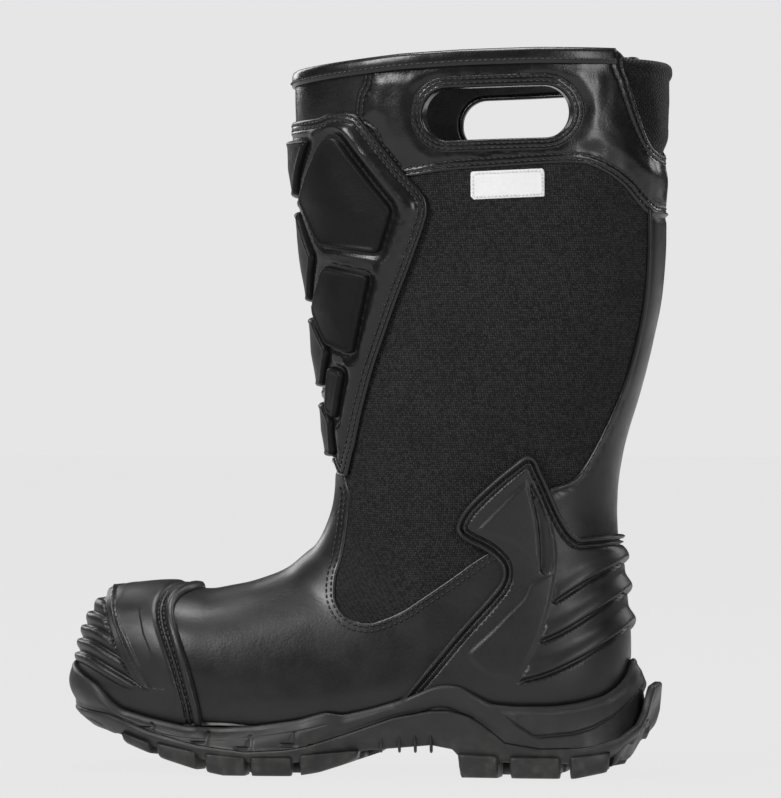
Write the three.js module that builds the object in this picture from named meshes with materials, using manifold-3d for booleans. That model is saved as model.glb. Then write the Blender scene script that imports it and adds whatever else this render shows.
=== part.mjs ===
// A tall pull-on structural fire boot for the left foot, as separate pieces.
// Millimetres, +Z up, toe towards -X, outer (lateral) side towards -Y.
// The origin is on the floor, below the middle of the boot's length.
//
// One inner surface, the face of the lining, is lofted through fan-shaped sections from the top of
// the leg to the toe. Every layer of the upper lies between two offsets of that surface, and every
// panel is a layer cut along its seams, which are drawn in side view. The sole is lofted in plan.

import * as THREE from 'three';
import { mergeVertices } from 'three/addons/utils/BufferGeometryUtils.js';
import Module from 'manifold-3d';

const wasm = await Module();
wasm.setup();

// ---------------------------------------------------------------- driving dimensions

const GAP = 0.3; // clearance between pieces that touch on the real boot
const LOOP = 18; // points round each section
const FAR = 400; // longer than the boot in every direction

// Layers of the upper: distance outwards from the lining's inner face, [inner, outer].
const FACING = [-1.3, -GAP];
const LINING = [0, 1.3];
const BARRIER = [1.6, 2.3];
const FILLER = [2.6, 4.0];
const COLLAR_PADDING = [1.6, 4.0];
const OUTER = [4.3, 6.0];
const OVERLAY = [6.3, 9.0];
const GUSSET = [4.3, 9.2];
const GUARD_FOAM = [6.6, 7.6];
const PADS = [9.3, 12.2];
const RIBS = [8.9, 12.3];
const BINDING = [-1.9, 8.0];
const HANDLE_RIM = [6.3, 8.3];
const LABEL = [6.3, 6.9];
const PLATE = [6.3, 7.5];
const SHANK = [7.8, 9.6];

const EDGE_DROP = 1.6; // how far the layers stop below the top of the binding
const TOE_CAP_END = -98; // x of the rear edge of the safety toe cap
const STIFFENER = { front: 74, top: 104 }; // front edge x and top edge z of the heel stiffener
const BARRIER_TOP = 322; // height where the membrane and insulation end and the collar begins

// Sections of the inner surface, from above the collar down to the toe. front and back are the
// section's two ends in side view [x, z]; outer and inner are its half widths towards -Y and +Y;
// middle is the y of its centre; widest is where it is widest, as a share of the way from back to
// front; frontPower and backPower square off those two halves, 2 being an ellipse.
const section = (front, back, outer, inner, middle, widest, frontPower, backPower) =>
  [...front, ...back, outer, inner, middle, widest, frontPower, backPower];
const SECTIONS = [
  section([-32.4, 392], [152.3, 392], 50, 50, 0, 0.5, 2.2, 2.2),
  section([-32.4, 350], [152.3, 345], 50, 50, 0, 0.5, 2.2, 2.2),
  section([-30.3, 318], [152.3, 308], 49.5, 49.5, 0, 0.5, 2.2, 2.2),
  section([-26, 286], [152.3, 274], 49, 49, 0, 0.5, 2.2, 2.2),
  section([-21.1, 249], [149.1, 244], 48, 48, 0, 0.5, 2.2, 2.2),
  section([-16.5, 212], [140, 206], 45.5, 45.5, 0, 0.5, 2.2, 2.2),
  section([-12.5, 180], [130.5, 172], 42, 42, 0, 0.5, 2.2, 2.2),
  section([-10.4, 159], [126.7, 140.6], 38.5, 38.5, 0, 0.5, 2.2, 2.2),
  section([-12, 140.6], [128.6, 106], 36.5, 36.5, 0, 0.5, 2.2, 2.3),
  section([-17, 126], [131.7, 70], 36.5, 36.5, 0, 0.48, 2.2, 2.4),
  section([-23, 116], [129, 46], 37, 37, 0, 0.45, 2.2, 2.6),
  section([-30, 110], [117, 36.5], 37.5, 37.5, 0, 0.42, 2.2, 3),
  section([-41, 101.5], [92, 34.5], 38, 37.5, 0, 0.38, 2.2, 3.6),
  section([-57, 95], [45, 35.5], 39, 37.5, 0, 0.34, 2.3, 4.2),
  section([-72, 91.5], [0, 29], 42, 40, 0.5, 0.32, 2.3, 4.5),
  section([-88, 89], [-45, 23.5], 45, 43.5, 2, 0.32, 2.4, 4.5),
  section([-109.4, 90.5], [-88, 24], 44, 44, 4, 0.34, 2.5, 4.5),
  section([-128, 89], [-118, 28.5], 38.5, 39.5, 6, 0.38, 2.6, 4),
];
const TOE_TIP = { x: -150, y: 8, z: 48 };
const TOE_SQUARENESS = 0.75; // below 1 makes the toe blunter in plan
const STEPS = [0, 2, 3, 4, 5, 6, 7, 8, 9, 9.7, 10.4, 11, 12, 13, 14, 15, 16, 17];
const TOE_STEPS = [17.45, 17.8];

// Seams and edges in side view, [x, z].
const TOP_LINE = [
  [-60, 368], [-38, 370], [-6, 373], [28, 376], [60, 377.5], [100, 378.5], [141, 378.5],
  [144, 374.5], [175, 373],
];
const COLLAR_SEAM = [
  [-60, 338], [4, 338], [27, 313], [34, 312], [52, 314.7], [86, 317], [107, 318.3], [122, 318.4],
  [132, 315], [141.6, 308], [148.5, 299], [153, 293.5], [157, 291.8], [180, 290.7],
];
const COLLAR_FRONT_SEAM = [[9.5, 400], [6, 356], [4, 338.3]];

const QUARTER = [
  [27, 313.4], [35, 303], [37, 295], [35, 285], [28, 266], [20, 248], [13, 229], [6.5, 212],
  [-0.5, 190], [-6, 172], [-8, 158], [-5, 147], [-6, 135.5], [-7, 124], [-8.6, 113],
  [-10.7, 104], [-10.5, 94.6], [-8.4, 89], [-4.7, 84.4], [0, 81.3], [7.5, 80], [13.5, 81],
  [26, 86], [39, 94.3], [53.5, 104], [67.7, 114], [85, 124], [100, 136], [106.5, 146], [108, 157],
];
const SHIN_SEAM = [[-60, 150], [-5.5, 150]];
const HEEL_SEAM = [[94, 131], [94, 0]];
const SHIN_GUARD = [
  [-70, 343.5], [-23.5, 343.5], [-10.5, 346.2], [1.6, 345.7], [7.4, 342.2], [18.8, 328.7],
  [30, 315.3], [41, 303.1], [43.5, 295.1], [41, 285], [33.9, 266], [26.5, 248.2], [19, 229],
  [12.5, 212.2], [5.5, 190.7], [0.3, 172.5], [-1.9, 166.5], [-5.2, 156.2], [-10.3, 157.3],
  [-70, 165],
];
const GUARD_FOAM_OUTLINE = [
  [-70, 337], [-1, 337], [11, 324.5], [33, 299], [34.5, 293], [33, 286], [18, 247],
  [4.5, 212], [-2, 192], [-8, 172], [-70, 172],
];
const HEEL_COUNTER = [
  [30, 0], [30, 43], [48, 65], [64, 83.4], [74.3, 94.6], [79.7, 101.7], [81, 108.1],
  [78.2, 112.8], [72, 117.6], [62.3, 122.3], [57.4, 126.2], [56.2, 130.3], [58.4, 135.8],
  [64, 143], [76.4, 154.2], [88.4, 163.7], [93, 166.8], [96.2, 167.7], [99.9, 165.2],
  [102, 160.5], [106.3, 151.7], [110.7, 142.2], [115, 134.2], [119.4, 127.8], [123.6, 124.8],
  [130, 125], [170, 127], [170, 0],
];
// Each heel rib: where it begins and ends in side view, and how thick it is.
const HEEL_RIBS = [
  { from: [98, 93], to: [146, 116.5], thick: 5 },
  { from: [92, 72], to: [149, 102], thick: 5.5 },
  { from: [84, 52], to: [152, 83], thick: 6 },
];
const TOE_GUARD = [
  [-180, 110], [-88, 110], [-85.9, 96], [-93.6, 95.5], [-101, 93.8], [-103.1, 90.6],
  [-100.8, 84.4], [-93.9, 75.1], [-85, 58], [-80, 42], [-78, 0], [-180, 0],
];
// Toe ribs run from the front of the toe down and back to the edge of the toe strap.
const TOE_RIBS = { count: 4, first: [-156, 64], last: [-143, 88], reach: [24, -13], thick: 3.4 };

// Seams at the back of the leg, seen from behind: [distance from the middle line, z].
const NOTCH = [[33.5, 400], [32.8, 371], [31, 363], [29, 354.5], [25.5, 343], [20.5, 332], [15, 327],
  [6, 325], [0, 324.8]];
const BACKSTAY = [[40, 146.5], [32, 155], [28, 165], [24.5, 178], [21.5, 195], [19.5, 215],
  [19.7, 239], [20.5, 263], [21, 302]];
const BEHIND = 100; // these seams only cut what lies behind this x

// Pull holes in side view, and the rim bound round each of them.
const PULL_HOLE = { x: 79, z: 345, length: 78, height: 28, tilt: 1.5, rim: 5.5, sleeve: 1.6 };
const LABEL_BOX = { x: 85, z: 307.4, width: 37.5, height: 14 };

// Raised pads of the shin guard: [distance round the shin from its middle line, height].
const MIDDLE_PADS = [
  [[0, 334], [40.8, 332.6], [18.3, 304.6], [0, 303]],
  [[0, 297], [17, 295.6], [32, 271.4], [18.4, 249], [0, 248]],
  [[0, 241], [20.4, 239.5], [35.2, 222.5], [23.4, 204], [0, 203]],
  [[0, 196], [18.7, 194.7], [28, 185.8], [24, 167.3], [0, 166]],
];
const SIDE_PADS = [
  [[52.8, 333.7], [61, 333.4], [90, 295.3], [78.4, 272], [39.5, 277], [25.1, 301.7]],
  [[40.8, 267], [71.3, 261.3], [53.2, 219.8], [33.8, 225.2], [22.4, 243.7]],
  [[35.5, 214.7], [46.5, 211], [33.5, 186], [25, 191]],
];

// The sole in plan at the tread's widest, [x, y], from the toe round the outer side to the heel.
const PLAN_OUTER = [
  [-151, -14], [-136, -34], [-110, -49.5], [-75, -57], [-40, -56], [0, -49], [45, -45],
  [90, -45], [125, -40], [146, -25],
];
const PLAN_INNER = [
  [146, 25], [125, 40], [90, 42], [45, 38], [0, 41], [-40, 51], [-75, 57], [-110, 56.5],
  [-136, 46], [-151, 31],
];
const PLAN_TOE = [-157.5, 8];
const PLAN_HEEL = [153, 0];
const PLAN_STEPS = 2; // points between two listed points

// Heights of the sole along its length, [x, z].
const TREAD_LINE = [
  [-160, 27], [-141, 20.5], [-126, 16.5], [-109, 11], [-98, 7.5], [-80, 2.6], [-66, 0], [-28, 0],
  [-16, 2], [-2, 6.5], [8, 12], [20, 14.5], [43, 16.5], [54, 15.5], [57, 6], [60, 0], [118, 0],
  [134, 4], [143, 9], [153, 19], [158, 24],
];
const OUTSOLE_TOP = [
  [-160, 34], [-133, 30.6], [-109, 22.5], [-80, 15.7], [-54, 12.5], [-34, 13.5], [-22, 15.5],
  [-1.5, 22.3], [23, 31], [43, 34.8], [53, 35], [63.6, 32], [70, 28.5], [78, 22.6], [83, 18.3],
  [102, 16.5], [122, 19], [137, 25], [148, 34], [158, 43],
];
const RIM_LINE = [
  [-165, 62], [-154, 56], [-145, 49.5], [-138, 46.3], [-134.5, 42.8], [-130.5, 37.3], [-126, 33],
  [-112, 29.4], [-90, 25.3], [-70, 24.5], [-49, 26], [-27, 29], [-12, 33.5], [-3.3, 32],
  [11, 35.4], [29, 40.8], [45, 47.5], [52, 48.6], [60, 47.8], [76, 38.6], [88.5, 38.1],
  [109.5, 40], [125.5, 45], [136, 52], [140, 58], [150, 64],
];
const LUG_TAPER = 2.5; // how far the tread's edge is drawn in under the sole's widest line
const TOE_TAPER = 11; // the same at the toe
const HEEL_LEDGE = 4; // how far the kick-off ledge stands out behind the heel
const MIDSOLE_INSET = { side: 1.6, heel: 6 };
const RIM_THICKNESS = 3.6;
const LUG_DEPTH = 8;
const GROOVES = [-135, -107, -77, -50, -27, 81, 113, 137]; // x of each groove across the tread
const SHALLOW = 0.45; // greatest depth of a groove, as a share of the outsole's thickness
const GROOVE_WIDTH = 5.5;
const CENTRE_CHANNELS = [
  { from: -118, to: -12, y: 3 },
  { from: 66, to: 132, y: 0 },
];
const CHANNEL_WIDTH = 7;
const FOOT_OPENING = { toe: -141, heel: 117, across: 0.79 }; // where the upper ends under the foot
const FOOTBED = { thickness: 5.5, grow: 2, top: 43 };
const PLATE_INSET = 2; // how far the plate's edge stays inside that opening
const SHANK_PLAN = { from: -28, to: 92, halfWidth: 9 };

// ---------------------------------------------------------------- small helpers

const smooth = (a, b, c, d, f) =>
  0.5 * (2 * b + (c - a) * f + (2 * a - 5 * b + 4 * c - d) * f * f + (3 * b - a - 3 * c + d) * f ** 3);

// Height of a line of [x, z] points at x, straight between points.
function heightAt(line, x) {
  const last = line.length - 1;
  if (x <= line[0][0]) return line[0][1];
  if (x >= line[last][0]) return line[last][1];
  const i = line.findIndex((p) => p[0] > x);
  const [a, b] = [line[i - 1], line[i]];
  return a[1] + ((b[1] - a[1]) * (x - a[0])) / (b[0] - a[0]);
}

function solidOf(geometry) {
  const bare = new THREE.BufferGeometry();
  bare.setAttribute('position', geometry.getAttribute('position'));
  if (geometry.index) bare.setIndex(geometry.index);
  const merged = mergeVertices(bare, 1e-4);
  return new wasm.Manifold(new wasm.Mesh({
    numProp: 3,
    vertProperties: new Float32Array(merged.attributes.position.array),
    triVerts: new Uint32Array(merged.index.array),
  }));
}

function geometryOf(solid) {
  const mesh = solid.getMesh();
  const geometry = new THREE.BufferGeometry();
  const positions = new Float32Array(mesh.numVert * 3);
  for (let i = 0; i < mesh.numVert; i++)
    positions.set(mesh.vertProperties.subarray(i * mesh.numProp, i * mesh.numProp + 3), i * 3);
  geometry.setAttribute('position', new THREE.BufferAttribute(positions, 3));
  geometry.setIndex(new THREE.BufferAttribute(new Uint32Array(mesh.triVerts), 1));
  geometry.computeVertexNormals();
  return geometry;
}

// A closed outline as a solid between two depths along an axis through the origin. right and up are
// the outline's own axes, and depth grows along right x up.
function prism(outline, right, up, from, to) {
  const shape = new THREE.Shape(outline.map(([a, b]) => new THREE.Vector2(a, b)));
  const geometry = new THREE.ExtrudeGeometry(shape, { depth: to - from, bevelEnabled: false });
  geometry.translate(0, 0, from);
  const forward = new THREE.Vector3().crossVectors(right, up);
  geometry.applyMatrix4(new THREE.Matrix4().makeBasis(right, up, forward));
  return solidOf(geometry);
}
const X = new THREE.Vector3(1, 0, 0);
const Y = new THREE.Vector3(0, 1, 0);
const Z = new THREE.Vector3(0, 0, 1);
// A side-view outline [x, z] through the boot, from y = low to y = high.
const sidePrism = (outline, low = -FAR, high = FAR) => prism(outline, X, Z, -high, -low);
// A plan outline [x, y] through the boot, from z = low to z = high.
const planPrism = (outline, low, high) => prism(outline, X, Y, low, high);
// An outline seen from behind [y, z], through everything behind BEHIND.
const rearPrism = (outline) => prism(outline, Y, Z, BEHIND, FAR);

function block(low, high) {
  const size = high.map((h, i) => h - low[i]);
  const box = new THREE.BoxGeometry(...size);
  box.translate(...low.map((l, i) => l + size[i] / 2));
  return solidOf(box);
}

const join = (solids) => solids.reduce((sum, s) => sum.add(s));

// A thin ribbon along a line, for cutting a seam.
function seamCutter(line, extrude = sidePrism) {
  const pieces = [];
  for (let i = 1; i < line.length; i++) {
    const [a, b] = [new THREE.Vector2(...line[i - 1]), new THREE.Vector2(...line[i])];
    const along = b.clone().sub(a).normalize().multiplyScalar(GAP / 2);
    const side = new THREE.Vector2(-along.y, along.x);
    const corner = (p, s, t) => [p.x + along.x * s + side.x * t, p.y + along.y * s + side.y * t];
    const outline = [corner(a, -1, -1), corner(b, 1, -1), corner(b, 1, 1), corner(a, -1, 1)];
    pieces.push(extrude(outline));
  }
  return join(pieces);
}

// The one of several separate bodies that holds a point.
function bodyAt(bodies, x, y, z) {
  const probe = block([x - 1, y - 1, z - 1], [x + 1, y + 1, z + 1]);
  const share = bodies.map((b) => b.intersect(probe).volume());
  const most = Math.max(...share);
  if (most <= 0) throw new Error(`no body at ${x}, ${y}, ${z}`);
  return bodies[share.indexOf(most)];
}

// ---------------------------------------------------------------- the inner surface

function sectionAt(t) {
  const last = SECTIONS.length - 1;
  if (t <= last) {
    const i = Math.min(Math.floor(t), last - 1);
    const at = (k) => SECTIONS[Math.min(Math.max(k, 0), last)];
    const [a, b, c, d] = [at(i - 1), at(i), at(i + 1), at(i + 2)];
    return b.map((_, k) => smooth(a[k], b[k], c[k], d[k], t - i));
  }
  // Beyond the last section the toe closes as a quarter ellipse.
  const [fx, fz, bx, bz, outer, inner, middle, ...shape] = SECTIONS[last];
  const turn = ((t - last) * Math.PI) / 2;
  const [s, c] = [Math.sin(turn), Math.cos(turn)];
  const across = c ** TOE_SQUARENESS;
  return [
    fx + (TOE_TIP.x - fx) * s, TOE_TIP.z + (fz - TOE_TIP.z) * c,
    bx + (TOE_TIP.x - bx) * s, TOE_TIP.z + (bz - TOE_TIP.z) * c,
    outer * across, inner * across, middle + (TOE_TIP.y - middle) * s, ...shape,
  ];
}

// One half of a section, from its front end round to its back end, evenly spaced.
function halfSection(t, side, count) {
  const [fx, fz, bx, bz, outer, inner, middle, widest, frontPower, backPower] = sectionAt(t);
  const width = side < 0 ? outer : inner;
  const fine = 120;
  const points = [];
  for (let i = 0; i <= fine; i++) {
    const angle = (i * Math.PI) / fine;
    const [c, s] = [Math.cos(angle), Math.sin(angle)];
    const power = 2 / (c >= 0 ? frontPower : backPower);
    const reach = Math.abs(c) ** power;
    const along = c >= 0 ? widest + (1 - widest) * reach : widest - widest * reach;
    const out = Math.abs(s) ** power * width * side;
    points.push(new THREE.Vector3(bx + (fx - bx) * along, middle + out, bz + (fz - bz) * along));
  }
  const lengths = [0];
  for (let i = 1; i <= fine; i++) lengths.push(lengths[i - 1] + points[i].distanceTo(points[i - 1]));
  const evenly = [];
  for (let k = 0, i = 1; k <= count; k++) {
    const want = (lengths[fine] * k) / count;
    while (i < fine && lengths[i] < want) i++;
    const share = (want - lengths[i - 1]) / (lengths[i] - lengths[i - 1] || 1);
    evenly.push(points[i - 1].clone().lerp(points[i], share));
  }
  return evenly;
}

// A whole section: front, outer side, back, inner side.
function ring(t) {
  const half = LOOP / 2;
  return [...halfSection(t, -1, half), ...halfSection(t, 1, half).slice(1, -1).reverse()];
}

const RINGS = [...STEPS, ...TOE_STEPS].map(ring);
const NORMALS = RINGS.map((points, i) => points.map((_, j) => {
  const before = RINGS[Math.max(i - 1, 0)][j];
  const after = RINGS[Math.min(i + 1, RINGS.length - 1)][j];
  const along = after.clone().sub(before);
  const round = points[(j + 1) % LOOP].clone().sub(points[(j + LOOP - 1) % LOOP]);
  return along.cross(round).normalize();
}));

// Everything inside the surface at a distance out from the inner surface.
function inside(distance) {
  const positions = [];
  RINGS.forEach((points, i) => points.forEach((p, j) => {
    const q = p.clone().addScaledVector(NORMALS[i][j], distance);
    positions.push(q.x, q.y, q.z);
  }));
  const tip = positions.length / 3;
  positions.push(TOE_TIP.x - distance, TOE_TIP.y, TOE_TIP.z);
  positions.push(60, 0, SECTIONS[0][1]);
  const faces = [];
  const lastRing = (RINGS.length - 1) * LOOP;
  for (let j = 0; j < LOOP; j++) {
    const next = (j + 1) % LOOP;
    for (let i = 0; i < RINGS.length - 1; i++) {
      const [a, b] = [i * LOOP + j, i * LOOP + next];
      faces.push(a, b + LOOP, b, a, a + LOOP, b + LOOP);
    }
    faces.push(lastRing + next, lastRing + j, tip);
    faces.push(j, next, tip + 1);
  }
  const geometry = new THREE.BufferGeometry();
  geometry.setAttribute('position', new THREE.Float32BufferAttribute(positions, 3));
  geometry.setIndex(faces);
  return solidOf(geometry);
}

const belowTop = sidePrism([...TOP_LINE, [175, -50], [-180, -50], [-180, 368]]);
const layer = ([from, to]) => inside(to).subtract(inside(from)).intersect(belowTop);

// A point on the shin, on the surface at a distance out from the inner one, so far round from its
// middle line and at a height. side is -1 or 1.
function shinPoint(round, height, side, distance) {
  const count = LOOP * 2;
  const steps = 40;
  let best = null;
  for (let k = 0; k <= steps * 8; k++) {
    const half = halfSection(k / steps, side, count);
    const outer = half.map((p, j) => {
      const along = half[Math.min(j + 1, count)].clone().sub(half[Math.max(j - 1, 0)]);
      const normal = new THREE.Vector3(along.y, -along.x, 0).normalize().multiplyScalar(-side);
      return p.clone().addScaledVector(j === 0 ? new THREE.Vector3(-1, 0, 0) : normal, distance);
    });
    let travelled = 0;
    let j = 0;
    while (j < count - 1 && travelled + outer[j].distanceTo(outer[j + 1]) < round) {
      travelled += outer[j].distanceTo(outer[j + 1]);
      j++;
    }
    const share = (round - travelled) / outer[j].distanceTo(outer[j + 1]);
    const point = outer[j].clone().lerp(outer[j + 1], share);
    const miss = Math.abs(point.z - height);
    if (!best || miss < best.miss) best = { miss, point };
  }
  return best.point;
}

// ---------------------------------------------------------------- the sole's outlines

function closedCurve(points, steps) {
  const n = points.length;
  const out = [];
  for (let i = 0; i < n; i++) {
    const [a, b, c, d] = [-1, 0, 1, 2].map((k) => points[(i + k + n) % n]);
    for (let k = 0; k < steps; k++)
      out.push([0, 1].map((m) => smooth(a[m], b[m], c[m], d[m], k / steps)));
  }
  return out;
}
const PLAN = closedCurve([PLAN_TOE, ...PLAN_OUTER, PLAN_HEEL, ...PLAN_INNER], PLAN_STEPS);

// The plan outline drawn in by an amount that may depend on x.
function planInset(inset) {
  const n = PLAN.length;
  return PLAN.map(([x, y], i) => {
    const [a, b] = [PLAN[(i + n - 1) % n], PLAN[(i + 1) % n]];
    const normal = new THREE.Vector2(b[1] - a[1], a[0] - b[0]).normalize();
    const amount = typeof inset === 'function' ? inset(x) : inset;
    return [x - normal.x * amount, y - normal.y * amount];
  });
}

// The plan outline shrunk to the opening under the foot, made larger by an amount.
function footOutline(grow) {
  const { toe, heel, across } = FOOT_OPENING;
  const share = (heel - toe + 2 * grow) / (PLAN_HEEL[0] - PLAN_TOE[0]);
  return PLAN.map(([x, y]) => [toe - grow + (x - PLAN_TOE[0]) * share, y * (across + grow / 50)]);
}

// A solid through rings of the plan outline. Each level has an outline and a height for each x.
function planLoft(levels) {
  const n = PLAN.length;
  const positions = [];
  for (const { outline, height } of levels)
    for (const [x, y] of outline) positions.push(x, y, height(x));
  const faces = [];
  for (let k = 0; k < levels.length - 1; k++)
    for (let i = 0; i < n; i++) {
      const [a, b] = [k * n + i, k * n + ((i + 1) % n)];
      faces.push(a, b, b + n, a, b + n, a + n);
    }
  const cap = (level, flip) => {
    const outline = levels[level].outline.map(([x, y]) => new THREE.Vector2(x, y));
    for (const [a, b, c] of THREE.ShapeUtils.triangulateShape(outline, [])) {
      const [i, j, k] = [a, b, c].map((v) => v + level * n);
      faces.push(...(flip ? [i, k, j] : [i, j, k]));
    }
  };
  cap(0, true);
  cap(levels.length - 1, false);
  const geometry = new THREE.BufferGeometry();
  geometry.setAttribute('position', new THREE.Float32BufferAttribute(positions, 3));
  geometry.setIndex(faces);
  return solidOf(geometry);
}

const near = (x, from, to) => Math.min(Math.max((x - from) / (to - from), 0), 1);
const tread = (x) => heightAt(TREAD_LINE, x);
const outsoleTop = (x) => heightAt(OUTSOLE_TOP, x);
const rim = (x) => heightAt(RIM_LINE, x);

// ---------------------------------------------------------------- pieces of the sole

// The region in side view between two lines, each running the length of the boot.
function between(lower, upper, gap = 0) {
  const ends = (line, rise) => [[-200, line[0][1] + rise], ...line.map(([x, z]) => [x, z + rise]),
    [200, line[line.length - 1][1] + rise]];
  return sidePrism([...ends(lower, gap), ...ends(upper, 0).reverse()]);
}

function makeOutsole() {
  const taper = (x) => LUG_TAPER + (TOE_TAPER - LUG_TAPER) * near(x, -110, -150);
  const ledge = (x) => -HEEL_LEDGE * near(x, 128, 150);
  let sole = planLoft([
    { outline: planInset(taper), height: () => -30 },
    { outline: planInset(taper), height: tread },
    { outline: planInset(0), height: (x) => tread(x) + 0.45 * (outsoleTop(x) - tread(x)) },
    { outline: planInset(ledge), height: outsoleTop },
    { outline: planInset(ledge), height: () => 90 },
  ]).intersect(between(TREAD_LINE, OUTSOLE_TOP));
  for (const x of GROOVES) {
    const half = GROOVE_WIDTH / 2;
    const roof = tread(x) + Math.min(LUG_DEPTH, SHALLOW * (outsoleTop(x) - tread(x)));
    sole = sole.subtract(sidePrism([[x - half - 1, -20], [x + half + 1, -20], [x + half, roof],
      [x - half, roof]]));
  }
  for (const { from, to, y } of CENTRE_CHANNELS) {
    const half = CHANNEL_WIDTH / 2;
    const floor = TREAD_LINE.filter(([x]) => x > from && x < to).map(([x, z]) => [x, z + LUG_DEPTH - 1]);
    const outline = [[from, -20], [to, -20], [to, tread(to) + LUG_DEPTH - 1], ...floor.reverse(),
      [from, tread(from) + LUG_DEPTH - 1]];
    sole = sole.subtract(sidePrism(outline, y - half, y + half));
  }
  return sole.subtract(footSpace);
}

function makeMidsole() {
  const inset = (x) => MIDSOLE_INSET.side + (MIDSOLE_INSET.heel - MIDSOLE_INSET.side) * near(x, 110, 145);
  const wall = planLoft([
    { outline: planInset(inset), height: () => -30 },
    { outline: planInset(inset), height: outsoleTop },
    { outline: planInset((x) => inset(x) + 1.5), height: rim },
    { outline: planInset((x) => inset(x) + 1.5), height: () => 90 },
  ]);
  const cup = inside(OVERLAY[1] + GAP + RIM_THICKNESS);
  return wall.add(cup).intersect(between(OUTSOLE_TOP, RIM_LINE, GAP)).subtract(footSpace)
    .decompose().sort((a, b) => b.volume() - a.volume())[0];
}

// The space that the upper, its overlays, the plate and the shank take out of the sole.
const shankOutline = [
  [SHANK_PLAN.from, -SHANK_PLAN.halfWidth], [SHANK_PLAN.to, -SHANK_PLAN.halfWidth],
  [SHANK_PLAN.to, SHANK_PLAN.halfWidth], [SHANK_PLAN.from, SHANK_PLAN.halfWidth],
];
const overlayRegion = sidePrism(TOE_GUARD).add(sidePrism(HEEL_COUNTER));
const aboveTread = block([-FAR, -FAR, 20], [FAR, FAR, FAR]);
const overlaySpace = inside(OVERLAY[1] + GAP).intersect(overlayRegion).intersect(aboveTread);
const shankRoom = shankOutline.map(([x, y]) => [x * 1.02, y * 1.06]);
const shankSpace = inside(SHANK[1] + GAP).intersect(planPrism(shankRoom, 0, 60));
const footSpace = inside(PLATE[1] + GAP).add(overlaySpace).add(shankSpace);

const sole = { outsole: makeOutsole(), midsole: makeMidsole() };

// ---------------------------------------------------------------- pull holes

function obround(grow) {
  const { x, z, length, height, tilt } = PULL_HOLE;
  const radius = height / 2 + grow;
  const half = length / 2 - height / 2;
  const corners = 6;
  const angle = THREE.MathUtils.degToRad(tilt);
  const outline = [];
  for (const end of [1, -1])
    for (let i = 0; i <= corners; i++) {
      const turn = (end > 0 ? -Math.PI / 2 : Math.PI / 2) + (i * Math.PI) / corners;
      const [u, v] = [end * half + Math.cos(turn) * radius, Math.sin(turn) * radius];
      outline.push([x + u * Math.cos(angle) - v * Math.sin(angle),
        z + u * Math.sin(angle) + v * Math.cos(angle)]);
    }
  return outline;
}
const holeCut = sidePrism(obround(PULL_HOLE.sleeve + GAP));

function makeHandleRim(side) {
  const half = side < 0 ? [-FAR, -5] : [5, FAR];
  const opening = sidePrism(obround(0), ...half);
  const flange = layer(HANDLE_RIM).intersect(sidePrism(obround(PULL_HOLE.rim), ...half));
  const sleeve = inside(HANDLE_RIM[1]).subtract(inside(FACING[0]))
    .intersect(sidePrism(obround(PULL_HOLE.sleeve), ...half));
  return flange.add(sleeve).subtract(opening);
}

// ---------------------------------------------------------------- layers of the upper

const underBinding = sidePrism([...TOP_LINE.map(([x, z]) => [x, z - EDGE_DROP]), [200, 371],
  [200, -50], [-200, -50], [-200, 366.4]]);
const above = (z) => block([-FAR, -FAR, z], [FAR, FAR, FAR]);
const below = (z) => block([-FAR, -FAR, -FAR], [FAR, FAR, z]);
const bottomOpening = planPrism(footOutline(0), -20, 60);
const bottomPlug = planPrism(footOutline(-GAP), -20, 60);

const lining = layer(LINING).intersect(underBinding).subtract(holeCut);
const facing = layer(FACING).intersect(underBinding).intersect(above(BARRIER_TOP)).subtract(holeCut);
const barrier = layer(BARRIER).intersect(below(BARRIER_TOP));
const collarPadding = layer(COLLAR_PADDING).intersect(underBinding)
  .intersect(above(BARRIER_TOP + GAP)).subtract(holeCut);

const filler = layer(FILLER).intersect(below(BARRIER_TOP));
const toeBox = (gap) => block([-FAR, -FAR, -FAR], [TOE_CAP_END - gap, FAR, FAR]);
const heelBox = (gap) => block([STIFFENER.front + gap, -FAR, -FAR], [FAR, FAR, STIFFENER.top - gap]);
const toeCap = filler.intersect(toeBox(GAP)).subtract(bottomOpening);
const heelStiffener = filler.intersect(heelBox(GAP)).subtract(bottomOpening);
const insulation = filler.subtract(toeBox(0).add(heelBox(0)).subtract(bottomPlug));

// The outer layer, cut along its seams into panels.
const outerBodies = layer(OUTER).intersect(underBinding)
  .subtract(holeCut)
  .subtract(bottomOpening)
  .subtract(seamCutter(COLLAR_SEAM))
  .subtract(seamCutter(COLLAR_FRONT_SEAM))
  .subtract(seamCutter(mirrored(NOTCH), rearPrism))
  .subtract(seamCutter(QUARTER))
  .subtract(seamCutter(BACKSTAY, rearPrism))
  .subtract(seamCutter(BACKSTAY.map(([y, z]) => [-y, z]), rearPrism))
  .subtract(seamCutter(SHIN_SEAM))
  .subtract(seamCutter(HEEL_SEAM))
  .subtract(block([140, -GAP / 2, 285], [FAR, GAP / 2, 330]))
  .decompose();

// A line seen from behind and its mirror image, joined where they meet on the middle line.
function mirrored(line) {
  return [...line.map(([y, z]) => [-y, z]), ...line.slice(0, -1).reverse()];
}

// The gusset fills the notch at the back of the collar and swells out past the leather.
function makeGusset() {
  const notch = rearPrism(mirrored(NOTCH)).subtract(seamCutter(mirrored(NOTCH), rearPrism));
  return layer(GUSSET).intersect(underBinding).intersect(notch);
}

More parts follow.
